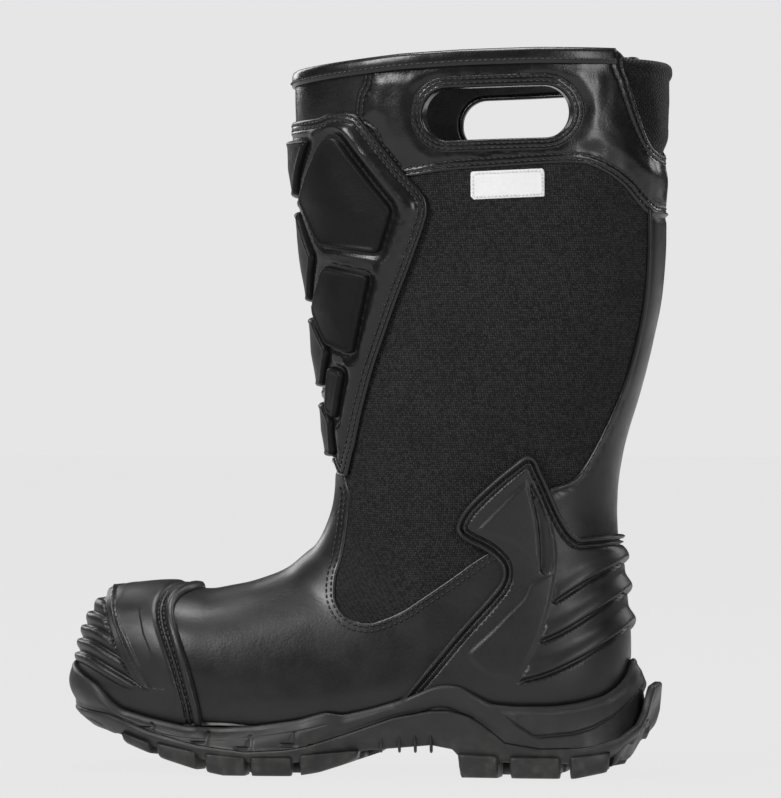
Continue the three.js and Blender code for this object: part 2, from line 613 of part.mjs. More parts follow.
const outerY = (OUTER[0] + OUTER[1]) / 2;
const panels = {
  collar_front: bodyAt(outerBodies, -32.4 - outerY, 0, 355),
  collar_outer_side: bodyAt(outerBodies, 62, -50 - outerY, 322),
  collar_inner_side: bodyAt(outerBodies, 62, 50 + outerY, 322),
  collar_gusset: makeGusset(),
  quarter_outer_side: bodyAt(outerBodies, 62, -48.5 - outerY, 262),
  quarter_inner_side: bodyAt(outerBodies, 62, 48.5 + outerY, 262),
  shin_panel: bodyAt(outerBodies, -21.1 - outerY, 0, 249),
  vamp: bodyAt(outerBodies, -72 - 0.5 * outerY, 0.5, 91.5 + 0.9 * outerY),
  backstay: bodyAt(outerBodies, 149.1 + outerY, 0, 244),
};

const insoleBoard = layer(OUTER).intersect(bottomPlug);
const punctureResistantPlate = layer(PLATE).intersect(planPrism(footOutline(-PLATE_INSET), -20, 60));
const shank = layer(SHANK).intersect(planPrism(shankOutline, 0, 60));

function makeFootbed() {
  const cavity = inside(-GAP);
  return cavity.subtract(cavity.translate([0, 0, FOOTBED.thickness]))
    .intersect(planPrism(footOutline(FOOTBED.grow), 0, FOOTBED.top));
}

// ---------------------------------------------------------------- overlays

function makeShinGuard() {
  const outline = sidePrism(SHIN_GUARD);
  const hollow = inside(GUARD_FOAM[1] + GAP).intersect(sidePrism(GUARD_FOAM_OUTLINE));
  return layer(OVERLAY).intersect(outline).subtract(hollow);
}

function makeShinFoam() {
  const inset = GUARD_FOAM_OUTLINE.map(([x, z]) => [x < -60 ? x : x - GAP * 1.5,
    z > 330 ? z - GAP : z < 175 ? z + GAP : z]);
  return layer(GUARD_FOAM).intersect(sidePrism(inset));
}

// A pad cut out of the pad layer along the direction that it faces, turned an angle from the front.
// A mirrored pad spans the middle line.
function makePad(outline, angle, side, mirrored = false) {
  const turn = THREE.MathUtils.degToRad(angle) * side;
  const outward = new THREE.Vector3(-Math.cos(turn), Math.sin(turn), 0);
  const right = new THREE.Vector3().crossVectors(Z, outward);
  const flat = (s) => outline.map(([round, z]) => {
    const point = shinPoint(round, z, s, PADS[0]);
    return [point.dot(right), point.z];
  });
  const points = mirrored ? [...flat(side), ...flat(-side).slice(1, -1).reverse()] : flat(side);
  const middle = new THREE.Vector3(60, 0, 0).dot(outward);
  return layer(PADS).intersect(prism(points, right, Z, middle, middle + FAR));
}

const aboveRim = between(RIM_LINE, [[-200, FAR], [200, FAR]], GAP);

function makeHeelCounter() {
  let counter = layer(OVERLAY).intersect(sidePrism(HEEL_COUNTER)).subtract(bottomOpening);
  for (const { from, to, thick } of HEEL_RIBS) {
    const [a, b] = [new THREE.Vector2(...from), new THREE.Vector2(...to)];
    const half = thick / 2;
    const outline = [[a.x, a.y], [b.x + 40, b.y + 20 - half], [b.x + 40, b.y + 20 + half],
      [a.x, a.y + 1]];
    counter = counter.add(layer(RIBS).intersect(sidePrism(outline)).intersect(aboveRim));
  }
  return counter;
}

function makeToeGuard() {
  const { count, first, last, reach, thick } = TOE_RIBS;
  let guard = layer(OVERLAY).intersect(sidePrism(TOE_GUARD)).subtract(bottomOpening);
  for (let i = 0; i < count; i++) {
    const f = i / (count - 1);
    const [x, z] = [first[0] + (last[0] - first[0]) * f, first[1] + (last[1] - first[1]) * f];
    const outline = [[x - 20, z + 8], [x, z], [x + reach[0], z + reach[1]],
      [x + reach[0], z + reach[1] + thick], [x, z + thick], [x - 20, z + 8 + thick]];
    guard = guard.add(layer(RIBS).intersect(sidePrism(outline)).intersect(aboveRim));
  }
  return guard;
}

function makeBinding() {
  const depth = 8.5;
  const band = sidePrism([...TOP_LINE, ...TOP_LINE.map(([x, z]) => [x, z - depth]).reverse()]);
  const ring = inside(BINDING[1]).subtract(inside(BINDING[0])).intersect(band);
  const filled = inside(OUTER[1] + GAP).subtract(inside(FACING[0] - GAP))
    .intersect(sidePrism([...TOP_LINE.map(([x, z]) => [x, z - EDGE_DROP + GAP]), [200, 371.7],
      [200, 300], [-200, 300], [-200, 366.7]]));
  const rearCut = rearPrism(mirrored(NOTCH.map(([y, z]) => [y > 0 ? y + GAP : 0, z - GAP])));
  return ring.subtract(filled).subtract(rearCut);
}

function makeLabel() {
  const { x, z, width, height } = LABEL_BOX;
  const [w, h] = [width / 2, height / 2];
  return layer(LABEL).intersect(sidePrism([[x - w, z - h], [x + w, z - h + 1], [x + w, z + h + 1],
    [x - w, z + h]], -FAR, -5));
}

// ---------------------------------------------------------------- materials

const material = (colour, roughness, metalness = 0) =>
  new THREE.MeshStandardMaterial({ color: colour, roughness, metalness });
const LEATHER = material(0x1a1a1b, 0.42);
const SOFT_LEATHER = material(0x161617, 0.38);
const TEXTILE = material(0x202021, 0.95);
const ELASTIC = material(0x1b1b1c, 0.95);
const MOULDED = material(0x1d1d1e, 0.55);
const RUBBER = material(0x232324, 0.7);
const PAD = material(0x161617, 0.5);
const KNIT = material(0x181416, 0.9);
const FELT = material(0xb8b09a, 1);
const MEMBRANE = material(0xd9d9d2, 0.6);
const STEEL = material(0x9da1a6, 0.35, 0.9);
const FIBREBOARD = material(0x8a7350, 0.9);
const FOAM = material(0x3a3a3c, 0.95);
const WOVEN_LABEL = material(0xd8d8d8, 0.8);

// ---------------------------------------------------------------- assembly

const boot = new THREE.Group();
function place(name, solid, finish) {
  const mesh = new THREE.Mesh(geometryOf(solid), finish);
  mesh.name = name;
  boot.add(mesh);
}

place('outsole', sole.outsole, RUBBER);
place('midsole', sole.midsole, RUBBER);
place('lining', lining, KNIT);
place('collar_facing', facing, KNIT);
place('moisture_barrier', barrier, MEMBRANE);
place('collar_padding', collarPadding, FOAM);
place('insulation', insulation, FELT);
place('safety_toe_cap', toeCap, STEEL);
place('heel_stiffener', heelStiffener, FIBREBOARD);
place('insole_board', insoleBoard, FIBREBOARD);
place('puncture_plate', punctureResistantPlate, STEEL);
place('shank', shank, STEEL);
place('footbed', makeFootbed(), FOAM);
const panelFinish = {
  collar_front: SOFT_LEATHER,
  collar_outer_side: SOFT_LEATHER,
  collar_inner_side: SOFT_LEATHER,
  collar_gusset: ELASTIC,
  quarter_outer_side: TEXTILE,
  quarter_inner_side: TEXTILE,
  shin_panel: LEATHER,
  vamp: LEATHER,
  backstay: LEATHER,
};
for (const [name, solid] of Object.entries(panels)) place(name, solid, panelFinish[name]);
place('shin_guard', makeShinGuard(), SOFT_LEATHER);
place('shin_foam', makeShinFoam(), FOAM);
MIDDLE_PADS.forEach((outline, i) => place(`shin_pad_middle_${i + 1}`, makePad(outline, 0, -1, true), PAD));
SIDE_PADS.forEach((outline, i) => {
  place(`shin_pad_outer_${i + 1}`, makePad(outline, 58, -1, false), PAD);
  place(`shin_pad_inner_${i + 1}`, makePad(outline, 58, 1, false), PAD);
});
place('heel_counter', makeHeelCounter(), MOULDED);
place('toe_guard', makeToeGuard(), MOULDED);
place('collar_binding', makeBinding(), SOFT_LEATHER);
place('handle_rim_outer_side', makeHandleRim(-1), SOFT_LEATHER);
place('handle_rim_inner_side', makeHandleRim(1), SOFT_LEATHER);
place('label', makeLabel(), WOVEN_LABEL);

export default boot;
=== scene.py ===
import math
import bpy
import numpy as np
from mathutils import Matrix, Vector
from mathutils.bvhtree import BVHTree


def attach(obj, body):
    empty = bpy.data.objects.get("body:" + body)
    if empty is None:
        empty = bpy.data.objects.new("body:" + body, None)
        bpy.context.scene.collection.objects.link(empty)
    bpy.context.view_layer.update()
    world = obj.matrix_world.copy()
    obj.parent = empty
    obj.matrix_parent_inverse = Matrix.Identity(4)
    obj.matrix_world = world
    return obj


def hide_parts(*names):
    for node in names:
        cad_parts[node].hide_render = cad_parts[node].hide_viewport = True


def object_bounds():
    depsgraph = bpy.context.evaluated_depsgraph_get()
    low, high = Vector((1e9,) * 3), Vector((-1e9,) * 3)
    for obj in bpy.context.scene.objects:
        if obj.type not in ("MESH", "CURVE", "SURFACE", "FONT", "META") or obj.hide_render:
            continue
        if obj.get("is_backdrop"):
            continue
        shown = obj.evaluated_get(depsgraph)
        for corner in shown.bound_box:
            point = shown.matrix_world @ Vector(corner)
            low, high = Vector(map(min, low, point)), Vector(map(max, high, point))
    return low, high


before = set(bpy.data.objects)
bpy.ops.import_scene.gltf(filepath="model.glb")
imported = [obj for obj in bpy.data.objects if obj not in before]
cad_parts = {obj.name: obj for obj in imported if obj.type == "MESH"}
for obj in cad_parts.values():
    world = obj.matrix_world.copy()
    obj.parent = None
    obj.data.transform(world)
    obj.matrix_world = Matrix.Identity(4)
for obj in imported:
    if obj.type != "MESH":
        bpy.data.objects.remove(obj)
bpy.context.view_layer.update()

MM = 0.001  # the shapes below are in millimetres

# ---------------------------------------------------------------- the inner surface
# Sections of the lining's inner face, from above the collar to the toe (mm): front x, z; back x, z;
# half width outer, inner; middle y; widest share; front and back powers.
SECTIONS = np.array([
    (-32.4, 392, 152.3, 392, 50, 50, 0, .50, 2.2, 2.2),
    (-32.4, 350, 152.3, 345, 50, 50, 0, .50, 2.2, 2.2),
    (-30.3, 318, 152.3, 308, 49.5, 49.5, 0, .50, 2.2, 2.2),
    (-26, 286, 152.3, 274, 49, 49, 0, .50, 2.2, 2.2),
    (-21.1, 249, 149.1, 244, 48, 48, 0, .50, 2.2, 2.2),
    (-16.5, 212, 140, 206, 45.5, 45.5, 0, .50, 2.2, 2.2),
    (-12.5, 180, 130.5, 172, 42, 42, 0, .50, 2.2, 2.2),
    (-10.4, 159, 126.7, 140.6, 38.5, 38.5, 0, .50, 2.2, 2.2),
    (-12, 140.6, 128.6, 106, 36.5, 36.5, 0, .50, 2.2, 2.3),
    (-17, 126, 131.7, 70, 36.5, 36.5, 0, .48, 2.2, 2.4),
    (-23, 116, 129, 46, 37, 37, 0, .45, 2.2, 2.6),
    (-30, 110, 117, 36.5, 37.5, 37.5, 0, .42, 2.2, 3),
    (-41, 101.5, 92, 34.5, 38, 37.5, 0, .38, 2.2, 3.6),
    (-57, 95, 45, 35.5, 39, 37.5, 0, .34, 2.3, 4.2),
    (-72, 91.5, 0, 29, 42, 40, .5, .32, 2.3, 4.5),
    (-88, 89, -45, 23.5, 45, 43.5, 2, .32, 2.4, 4.5),
    (-109.4, 90.5, -88, 24, 44, 44, 4, .34, 2.5, 4.5),
    (-128, 89, -118, 28.5, 38.5, 39.5, 6, .38, 2.6, 4)])
TOE_TIP = (-150, 8, 48)
TOE_SQUARENESS = 0.75
TOE_START = 0.25  # how far the last section has already turned in (radians)
LAST = len(SECTIONS) - 1


def smooth_between(a, b, c, d, f):
    return 0.5 * (2 * b + (c - a) * f + (2 * a - 5 * b + 4 * c - d) * f * f
                  + (3 * b - a - 3 * c + d) * f ** 3)


def section_at(t):
    if t <= LAST:
        i = min(int(t), LAST - 1)
        a, b, c, d = (SECTIONS[min(max(i + k, 0), LAST)] for k in (-1, 0, 1, 2))
        return smooth_between(a, b, c, d, t - i)
    v = SECTIONS[LAST].copy()
    turn = (t - LAST) * math.pi / 2
    late = TOE_START + (t - LAST) * (math.pi / 2 - TOE_START)
    c = max(math.cos(turn), 1e-3)
    s = (math.sin(late) - math.sin(TOE_START)) / (1 - math.sin(TOE_START))
    low = max(math.cos(late) / math.cos(TOE_START), 1e-3)
    tx, ty, tz = TOE_TIP
    v[0] += (tx - v[0]) * s
    v[2] += (tx - v[2]) * s
    v[1] = tz + (v[1] - tz) * c
    v[3] = tz + (v[3] - tz) * low
    v[4:6] *= low ** TOE_SQUARENESS
    v[6] += (ty - v[6]) * s
    return v


def ring(t, n, dense=480):
    fx, fz, bx, bz, wl, wm, yc, m, nf, nb = section_at(t)
    s = np.linspace(0, 2, dense + 1)
    a = math.pi / 2 * (np.floor(s) + (s % 1) ** 2 * (3 - 2 * (s % 1)))
    co, si = np.cos(a), np.abs(np.sin(a))
    front = co >= 0
    along = np.where(front, m + (1 - m) * np.abs(co) ** (2 / nf), m - m * np.abs(co) ** (2 / nb))
    out = np.where(front, si ** (2 / nf), si ** (2 / nb))
    halves = []
    for w, sign in ((wl, -1), (wm, 1)):
        p = np.stack([bx + (fx - bx) * along, yc + sign * w * out, bz + (fz - bz) * along], 1)
        length = run_along(p)
        q = np.linspace(0, length[-1], n // 2 + 1)
        halves.append(np.stack([np.interp(q, length, p[:, k]) for k in range(3)], 1))
    return np.vstack([halves[0], halves[1][-2:0:-1]])


def grid_faces(rows, columns, joined=False):
    """Triangles over rows of points that close into rings, with the last row joined to the first or not."""
    i, j = np.meshgrid(np.arange(rows if joined else rows - 1), np.arange(columns), indexing="ij")
    a, b = i * columns + j, i * columns + (j + 1) % columns
    c, d = (b + columns) % (rows * columns), (a + columns) % (rows * columns)
    a, b, c, d = (x.ravel() for x in (a, b, c, d))
    return np.concatenate([np.stack([a, b, c], 1), np.stack([a, c, d], 1)])


class Skin:
    """The inner surface as a grid of points with normals: rows down the leg to the toe, columns round."""

    def __init__(self, step, columns, start=0.0, end=17.9995):
        fine = np.arange(0, 18.0, 0.01)
        v = np.array([section_at(t) for t in fine])
        d = np.abs(np.diff(v[:, :6], axis=0))
        pace = np.maximum.reduce([np.hypot(d[:, 0], d[:, 1]), np.hypot(d[:, 2], d[:, 3]), d[:, 4]])
        length = np.concatenate([[0], np.cumsum(pace)])
        a, b = np.interp([start, end], fine, length)
        rows = int((b - a) / step) + 2
        self.t = np.interp(np.linspace(a, b, rows), length, fine)
        self.columns = columns
        self.points = np.array([ring(t, columns) for t in self.t])
        g = self.points
        down = np.empty_like(g)
        down[1:-1] = g[2:] - g[:-2]
        down[0], down[-1] = g[1] - g[0], g[-1] - g[-2]
        round_ = np.roll(g, -1, 1) - np.roll(g, 1, 1)
        self.normals = unit(np.cross(down, round_))
        side = np.linalg.norm(np.diff(np.concatenate([g, g[:, :1]], 1), axis=1), axis=2)
        self.round = np.concatenate([np.zeros((len(g), 1)), np.cumsum(side, 1)], 1)[:, :-1]
        fall = np.linalg.norm(np.diff(g, axis=0), axis=2)
        self.down = np.concatenate([np.zeros((1, columns)), np.cumsum(fall, 0)], 0)

    def faces(self):
        return grid_faces(*self.points.shape[:2])[:, ::-1]


# ---------------------------------------------------------------- noise and outlines

def _hash(ix, iy, iz, seed):
    h = (ix * 374761393 + iy * 668265263 + iz * 2147483647 + seed * 1274126177) & 0xFFFFFFFF
    h = ((h ^ (h >> 13)) * 1103515245) & 0xFFFFFFFF
    h = ((h ^ (h >> 15)) * 2246822519) & 0xFFFFFFFF
    return ((h ^ (h >> 16)) & 0xFFFFFF) / float(0xFFFFFF)


def noise(p, size, seed=0, octaves=1):
    """Smooth noise from -1 to 1 at points p (mm), with features of a size (mm)."""
    total, weight, amount = 0.0, 0.0, 1.0
    for o in range(octaves):
        q = np.asarray(p) / size * 2 ** o + 37.1 * o
        base = np.floor(q).astype(np.int64)
        f = q - base
        f = f * f * f * (f * (f * 6 - 15) + 10)
        value = 0.0
        for dx in (0, 1):
            for dy in (0, 1):
                for dz in (0, 1):
                    w = ((f[..., 0] if dx else 1 - f[..., 0]) * (f[..., 1] if dy else 1 - f[..., 1])
                         * (f[..., 2] if dz else 1 - f[..., 2]))
                    value = value + w * _hash(base[..., 0] + dx, base[..., 1] + dy,
                                              base[..., 2] + dz, seed + 7 * o)
        total = total + amount * (2 * value - 1)
        weight += amount
        amount *= 0.5
    return total / weight


def unit(vectors):
    """Vectors scaled to length 1."""
    return vectors / (np.linalg.norm(vectors, axis=-1, keepdims=True) + 1e-12)


def run_along(points):
    """Distance along a polyline at each of its points."""
    return np.concatenate([[0], np.cumsum(np.linalg.norm(np.diff(points, axis=0), axis=1))])


def rounded(points, closed=True, per=8, corner=50):
    """A smooth curve through points; corners sharper than an angle stay sharp."""
    p = np.asarray(points, float)
    n = len(p)
    out = []
    sharp = []
    for i in range(n):
        a, b, c = p[i - 1], p[i], p[(i + 1) % n]
        u, v = b - a, c - b
        turn = math.degrees(abs(math.atan2(u[0] * v[1] - u[1] * v[0], u @ v)))
        sharp.append(turn > corner or (not closed and i in (0, n - 1)))
    for i in range(n if closed else n - 1):
        j = (i + 1) % n
        b, c = p[i], p[j]
        a = 2 * b - c if sharp[i] else p[i - 1]
        d = 2 * c - b if sharp[j] else p[(j + 1) % n]
        for k in range(per):
            out.append(smooth_between(a, b, c, d, k / per))
    if not closed:
        out.append(p[-1])
    return np.array(out)


def soften(outline, radius, per=6):
    """A closed outline with its corners rounded off."""
    p = np.asarray(outline, float)
    out = []
    for a, b, c in zip(np.roll(p, 1, 0), p, np.roll(p, -1, 0)):
        u, v = a - b, c - b
        start = b + u * min(radius / np.linalg.norm(u), 0.45)
        stop = b + v * min(radius / np.linalg.norm(v), 0.45)
        for f in np.linspace(0, 1, per + 1):
            out.append((1 - f) ** 2 * start + 2 * f * (1 - f) * b + f * f * stop)
    return np.array(out)


def distance_to(q, line, closed=False):
    """Distance from points q (n, 2) to a polyline."""
    a = line if closed else line[:-1]
    b = np.roll(line, -1, 0) if closed else line[1:]
    best = np.full(len(q), 1e9)
    for i in range(len(a)):
        d = b[i] - a[i]
        s = np.clip(((q - a[i]) @ d) / max(d @ d, 1e-12), 0, 1)
        best = np.minimum(best, np.hypot(*(q - a[i] - s[:, None] * d).T))
    return best


def depth_in(q, outline):
    """Distance from points q inwards of a closed outline; negative outside."""
    d = distance_to(q, outline, True)
    inside = np.zeros(len(q), bool)
    a, b = outline, np.roll(outline, -1, 0)
    for i in range(len(a)):
        crosses = (a[i, 1] > q[:, 1]) != (b[i, 1] > q[:, 1])
        x = a[i, 0] + (q[:, 1] - a[i, 1]) * (b[i, 0] - a[i, 0]) / (b[i, 1] - a[i, 1] + 1e-12)
        inside ^= crosses & (q[:, 0] < x)
    return np.where(inside, d, -d)


def ramp(x, low, high):
    s = np.clip((x - low) / (high - low), 0, 1)
    return s * s * (3 - 2 * s)


def bump(x, centre, half):
    """A round ridge of height 1 and a half width about a value."""
    s = np.clip(1 - ((x - centre) / half) ** 2, 0, 1)
    return s * s * (3 - 2 * s)


# ---------------------------------------------------------------- meshes

COLLECTION = bpy.context.scene.collection


def to_object(name, points, faces, material=None, smooth=True, attributes=None):
    mesh = bpy.data.meshes.new(name)
    points = np.asarray(points, np.float32) * MM
    if isinstance(faces, np.ndarray):
        k = faces.shape[1]
        mesh.vertices.add(len(points))
        mesh.vertices.foreach_set("co", points.ravel())
        mesh.loops.add(faces.size)
        mesh.loops.foreach_set("vertex_index", faces.astype(np.int32).ravel())
        mesh.polygons.add(len(faces))
        mesh.polygons.foreach_set("loop_start", np.arange(0, faces.size, k, dtype=np.int32))
        mesh.update(calc_edges=True)
    else:
        mesh.from_pydata(points.tolist(), [], faces)
    mesh.validate()
    if smooth:
        mesh.polygons.foreach_set("use_smooth", np.ones(len(mesh.polygons), bool))
    for key, value in (attributes or {}).items():
        value = np.asarray(value, np.float32)
        kind = "FLOAT" if value.ndim == 1 else "FLOAT_VECTOR"
        field = "value" if value.ndim == 1 else "vector"
        mesh.attributes.new(key, kind, "POINT").data.foreach_set(field, value.ravel())
    obj = bpy.data.objects.new(name, mesh)
    COLLECTION.objects.link(obj)
    if material:
        mesh.materials.append(material)
    return obj


def split_at(values, faces, column, level):
    """Splits triangles where a value crosses a level. values holds one row of numbers per point."""
    d = values[:, column] - level
    small = 0.02
    d = np.where(np.abs(d) < small, np.where(d < 0, -small, small), d)
    below = d < 0
    mixed = below[faces].any(1) & ~below[faces].all(1)
    keep, cut = faces[~mixed], faces[mixed]
    if not len(cut):
        return values, faces
    alone = np.where(below[cut].sum(1)[:, None] == 1, below[cut], ~below[cut])
    first = alone.argmax(1)
    row = np.arange(len(cut))
    a, b, c = cut[row, first], cut[row, (first + 1) % 3], cut[row, (first + 2) % 3]
    edges = np.concatenate([np.stack([a, b], 1), np.stack([a, c], 1)])
    edges.sort(1)
    unique, index = np.unique(edges, axis=0, return_inverse=True)
    index = index.reshape(-1)
    f = d[unique[:, 0]] / (d[unique[:, 0]] - d[unique[:, 1]])
    new = values[unique[:, 0]] * (1 - f[:, None]) + values[unique[:, 1]] * f[:, None]
    new[:, column] = level
    start = len(values)
    ab, ac = start + index[:len(cut)], start + index[len(cut):]
    more = np.concatenate([np.stack([a, ab, ac], 1), np.stack([ab, b, c], 1), np.stack([ab, c, ac], 1)])
    return np.vstack([values, new]), np.concatenate([keep, more])


def used_only(values, faces):
    used, index = np.unique(faces, return_inverse=True)
    return values[used], index.reshape(faces.shape)


def rim_edges(faces):
    e = np.concatenate([faces[:, [0, 1]], faces[:, [1, 2]], faces[:, [2, 0]]])
    key = np.sort(e, 1)
    _, index, count = np.unique(key, axis=0, return_index=True, return_counts=True)
    return e[index[count == 1]]


class Sheet:
    """A part of a skin where a depth field is positive, cut along its edge and along level lines.

    Named fields are carried along; cuts are (name, level) pairs to put further edges on.
    """

    def __init__(self, skin, depth, levels=(), cuts=(), **fields):
        p = skin.points.reshape(-1, 3)
        n = skin.normals.reshape(-1, 3)
        cloth = np.stack([skin.round.ravel(), skin.down.ravel()], 1)
        self.names = {name: 9 + k for k, name in enumerate(fields)}
        self.names["depth"] = 8
        values = np.hstack([p, n, cloth, depth[:, None]] + [f[:, None] for f in fields.values()])
        faces = skin.faces()
        faces = faces[(depth[faces] > 0).any(1)]
        for level in (0,) + tuple(levels):
            values, faces = split_at(values, faces, 8, level)
            if level == 0:
                middle = values[faces, 8].mean(1)
                faces = faces[(middle > 0) & (values[faces, 8] >= -1e-9).all(1)]
        for name, level in cuts:
            values, faces = split_at(values, faces, self.names[name], level)
        whole = (faces[:, 0] != faces[:, 1]) & (faces[:, 1] != faces[:, 2]) & (faces[:, 0] != faces[:, 2])
        self.values, self.faces = used_only(values, faces[whole])
        v = self.values
        v[:, 3:6] = unit(v[:, 3:6])
        self.points, self.normals, self.cloth, self.depth = v[:, 0:3], v[:, 3:6], v[:, 6:8], v[:, 8]
        self.q = self.points + 6 * self.normals

    def __getitem__(self, name):
        return self.values[:, self.names[name]]

    def __setitem__(self, name, value):
        self.names[name] = self.values.shape[1]
        self.values = np.hstack([self.values, np.reshape(np.broadcast_to(value, len(self.values)), (-1, 1))])

    def solid(self, name, inner, material):
        """A closed shell from a distance out from the inner surface to the sheet's height field."""
        inner = np.broadcast_to(inner, self.depth.shape)
        top = self.points + self.normals * self["height"][:, None]
        low = self.points + self.normals * inner[:, None]
        edges = rim_edges(self.faces)
        n = len(top)
        walls = np.concatenate([
            np.stack([edges[:, 1], edges[:, 0], edges[:, 0] + n], 1),
            np.stack([edges[:, 1], edges[:, 0] + n, edges[:, 1] + n], 1)])
        cloth = np.hstack([self.cloth, np.zeros((n, 1))])
        attributes = {"edge": np.concatenate([self.depth, self.depth]), "cloth": np.vstack([cloth, cloth])}
        faces = np.concatenate([self.faces, self.faces[:, ::-1] + n, walls])
        return to_object(name, np.vstack([top, low]), faces, material, attributes=attributes)


def edge_round(depth, outer, drop, radius):
    """The outer distance with its edge rounded down by a drop over a radius."""
    s = np.clip(1 - depth / radius, 0, 1)
    return outer - drop * (1 - np.sqrt(np.clip(1 - s * s, 0, 1)))


def chains(sheet, column_values, level, where=None):
    """Polylines (rows of a sheet's values) along a level of a value, cut down to where a test holds."""
    d = column_values - level
    d = np.where(np.abs(d) < 1e-6, 1e-6, d)
    f = sheet.faces
    below = d[f] < 0
    mixed = below.any(1) & ~below.all(1)
    links, place = {}, {}
    for tri, b in zip(f[mixed], below[mixed]):
        ends = [tuple(sorted((int(tri[i]), int(tri[j]))))
                for i, j in ((0, 1), (1, 2), (2, 0)) if b[i] != b[j]]
        for e in ends:
            if e not in place:
                w = d[e[0]] / (d[e[0]] - d[e[1]])
                place[e] = sheet.values[e[0]] * (1 - w) + sheet.values[e[1]] * w
        links.setdefault(ends[0], []).append(ends[1])
        links.setdefault(ends[1], []).append(ends[0])
    lines, seen = [], set()
    starts = [e for e in sorted(links) if len(links[e]) == 1] + sorted(links)
    for s in starts:
        if s in seen:
            continue
        line = [s]
        seen.add(s)
        while True:
            following = [e for e in links[line[-1]] if e not in seen]
            if not following:
                break
            line.append(following[0])
            seen.add(following[0])
        if len(line) > 2 and line[0] in links[line[-1]]:
            line.append(line[0])
        rows = np.array([place[e] for e in line])
        good = np.ones(len(rows), bool) if where is None else where(rows)
        breaks = np.flatnonzero(np.diff(good.astype(int))) + 1
        lines += [run for run, g in zip(np.split(rows, breaks), np.split(good, breaks)) if g[0]]
    return [line for line in lines if len(line) > 3]


def resample(points, step, *others):
    """Evenly spaced points along a polyline, with other per-point rows resampled too."""
    length = run_along(points)
    count = max(int(length[-1] / step), 1)
    q = np.linspace(0, length[-1], count + 1)
    return [np.stack([np.interp(q, length, a[:, k]) for k in range(a.shape[1])], 1)
            for a in (points,) + others]


def smooth_line(p, times=3):
    for _ in range(times):
        p[1:-1] = 0.25 * p[:-2] + 0.5 * p[1:-1] + 0.25 * p[2:]
    return p


def merge(parts):
    points, faces, start = [], [], 0
    for v, f in parts:
        points.append(v)
        faces.append(f + start)
        start += len(v)
    return np.vstack(points), np.concatenate(faces)


STITCH = dict(length=2.3, gap=0.95, radius=0.46, sink=0.35, rise=0.26, sides=6)


def stitch_parts(line, normal, scale=1.0):
    """Thread stitches along a line on a surface."""
    pitch = (STITCH["length"] + STITCH["gap"]) * scale
    length = run_along(line)
    count = int(length[-1] / pitch)
    if count < 1:
        return []
    pitch = length[-1] / count
    share = np.array([0, .12, .5, .88, 1.0]) * STITCH["length"] * scale
    lift = np.array([-STITCH["sink"], 0.12, STITCH["rise"], 0.12, -STITCH["sink"]])
    size = np.array([0.7, 1, 1.05, 1, 0.7]) * STITCH["radius"] * scale
    s = (np.arange(count)[:, None] * pitch + STITCH["gap"] / 2 + share[None]).ravel()
    at = np.stack([np.interp(s, length, line[:, k]) for k in range(3)], 1)
    up = np.stack([np.interp(s, length, normal[:, k]) for k in range(3)], 1)
    up = unit(up)
    at = (at + up * np.tile(lift, count)[:, None]).reshape(count, 5, 3)
    up = up.reshape(count, 5, 3)
    ahead = unit(at[:, -1] - at[:, 0])
    across = unit(np.cross(ahead[:, None], up))
    sides = STITCH["sides"]
    angle = np.arange(sides) * 2 * math.pi / sides
    v = (at[:, :, None] + size[None, :, None, None] * (
        np.cos(angle)[None, None, :, None] * across[:, :, None]
        + np.sin(angle)[None, None, :, None] * up[:, :, None]))
    ends = [[(0, j + 1, j), (4 * sides, 4 * sides + j, 4 * sides + j + 1)] for j in range(1, sides - 1)]
    one = np.vstack([grid_faces(5, sides), *ends])
    faces = (one[None] + (np.arange(count) * 5 * sides)[:, None, None]).reshape(-1, 3)
    return [(v.reshape(-1, 3), faces)]


# ---------------------------------------------------------------- seams and outlines (mm)
# Side view [x, z] unless said otherwise; the same outline serves both sides of the boot.

TOP_LINE = np.array([(-60, 368), (-38, 370), (-6, 373), (28, 376), (60, 377.5), (100, 378.5),
                     (141, 378.5), (144, 374.5), (175, 373)], float)
COLLAR_SEAM = [(4, 338), (15.5, 325.5), (27, 313), (34, 312), (52, 314.7), (86, 317), (107, 318.3),
               (122, 318.4), (132, 315), (141.6, 308), (148.5, 299), (153, 293.5), (157, 291.8),
               (200, 290.7)]
COLLAR_FRONT_SEAM = np.array([(10.5, 400), (9.5, 365), (6, 356), (4.3, 346), (3, 320)], float)
NOTCH = np.array([(33.5, 400), (32.8, 371), (31, 363), (29, 354.5), (25.5, 343), (20.5, 332),
                  (15, 327), (6, 325), (0, 324.8)], float)  # seen from behind [y, z]
BACKSTAY = np.array([(44, 120), (40, 146.5), (32, 155), (28, 165), (24.5, 178), (21.5, 195),
                     (19.5, 215), (19.7, 239), (20.5, 263), (21, 302)], float)  # from behind [y, z]
QUARTER_FRONT = [(27, 313.4), (35, 303), (37, 295), (35, 285), (28, 266), (20, 248), (13, 229),
                 (6.5, 212), (-.5, 190), (-6, 172), (-8, 158), (-5, 147), (-6, 135.5), (-7, 124),
                 (-8.6, 113), (-10.7, 104), (-10.5, 94.6), (-8.4, 89), (-4.7, 84.4), (0, 81.3),
                 (7.5, 80), (13.5, 81), (26, 86), (39, 94.3), (53.5, 104), (67.7, 114), (85, 124),
                 (100, 136), (110, 150)]
SHIN_GUARD = [(-70, 343.4), (-23.5, 343.5), (-10.5, 346.2), (1.6, 345.7), (7.4, 342.2),
              (18.8, 328.7), (30, 315.3), (41.1, 303.1), (43.5, 295.1), (41, 285), (33.9, 266.1),
              (26.5, 248.2), (19, 229), (12.5, 212.2), (5.5, 190.7), (.3, 172.5), (-1.9, 166.5),
              (-5.2, 156.2), (-10.3, 157.3), (-14, 163), (-70, 163)]
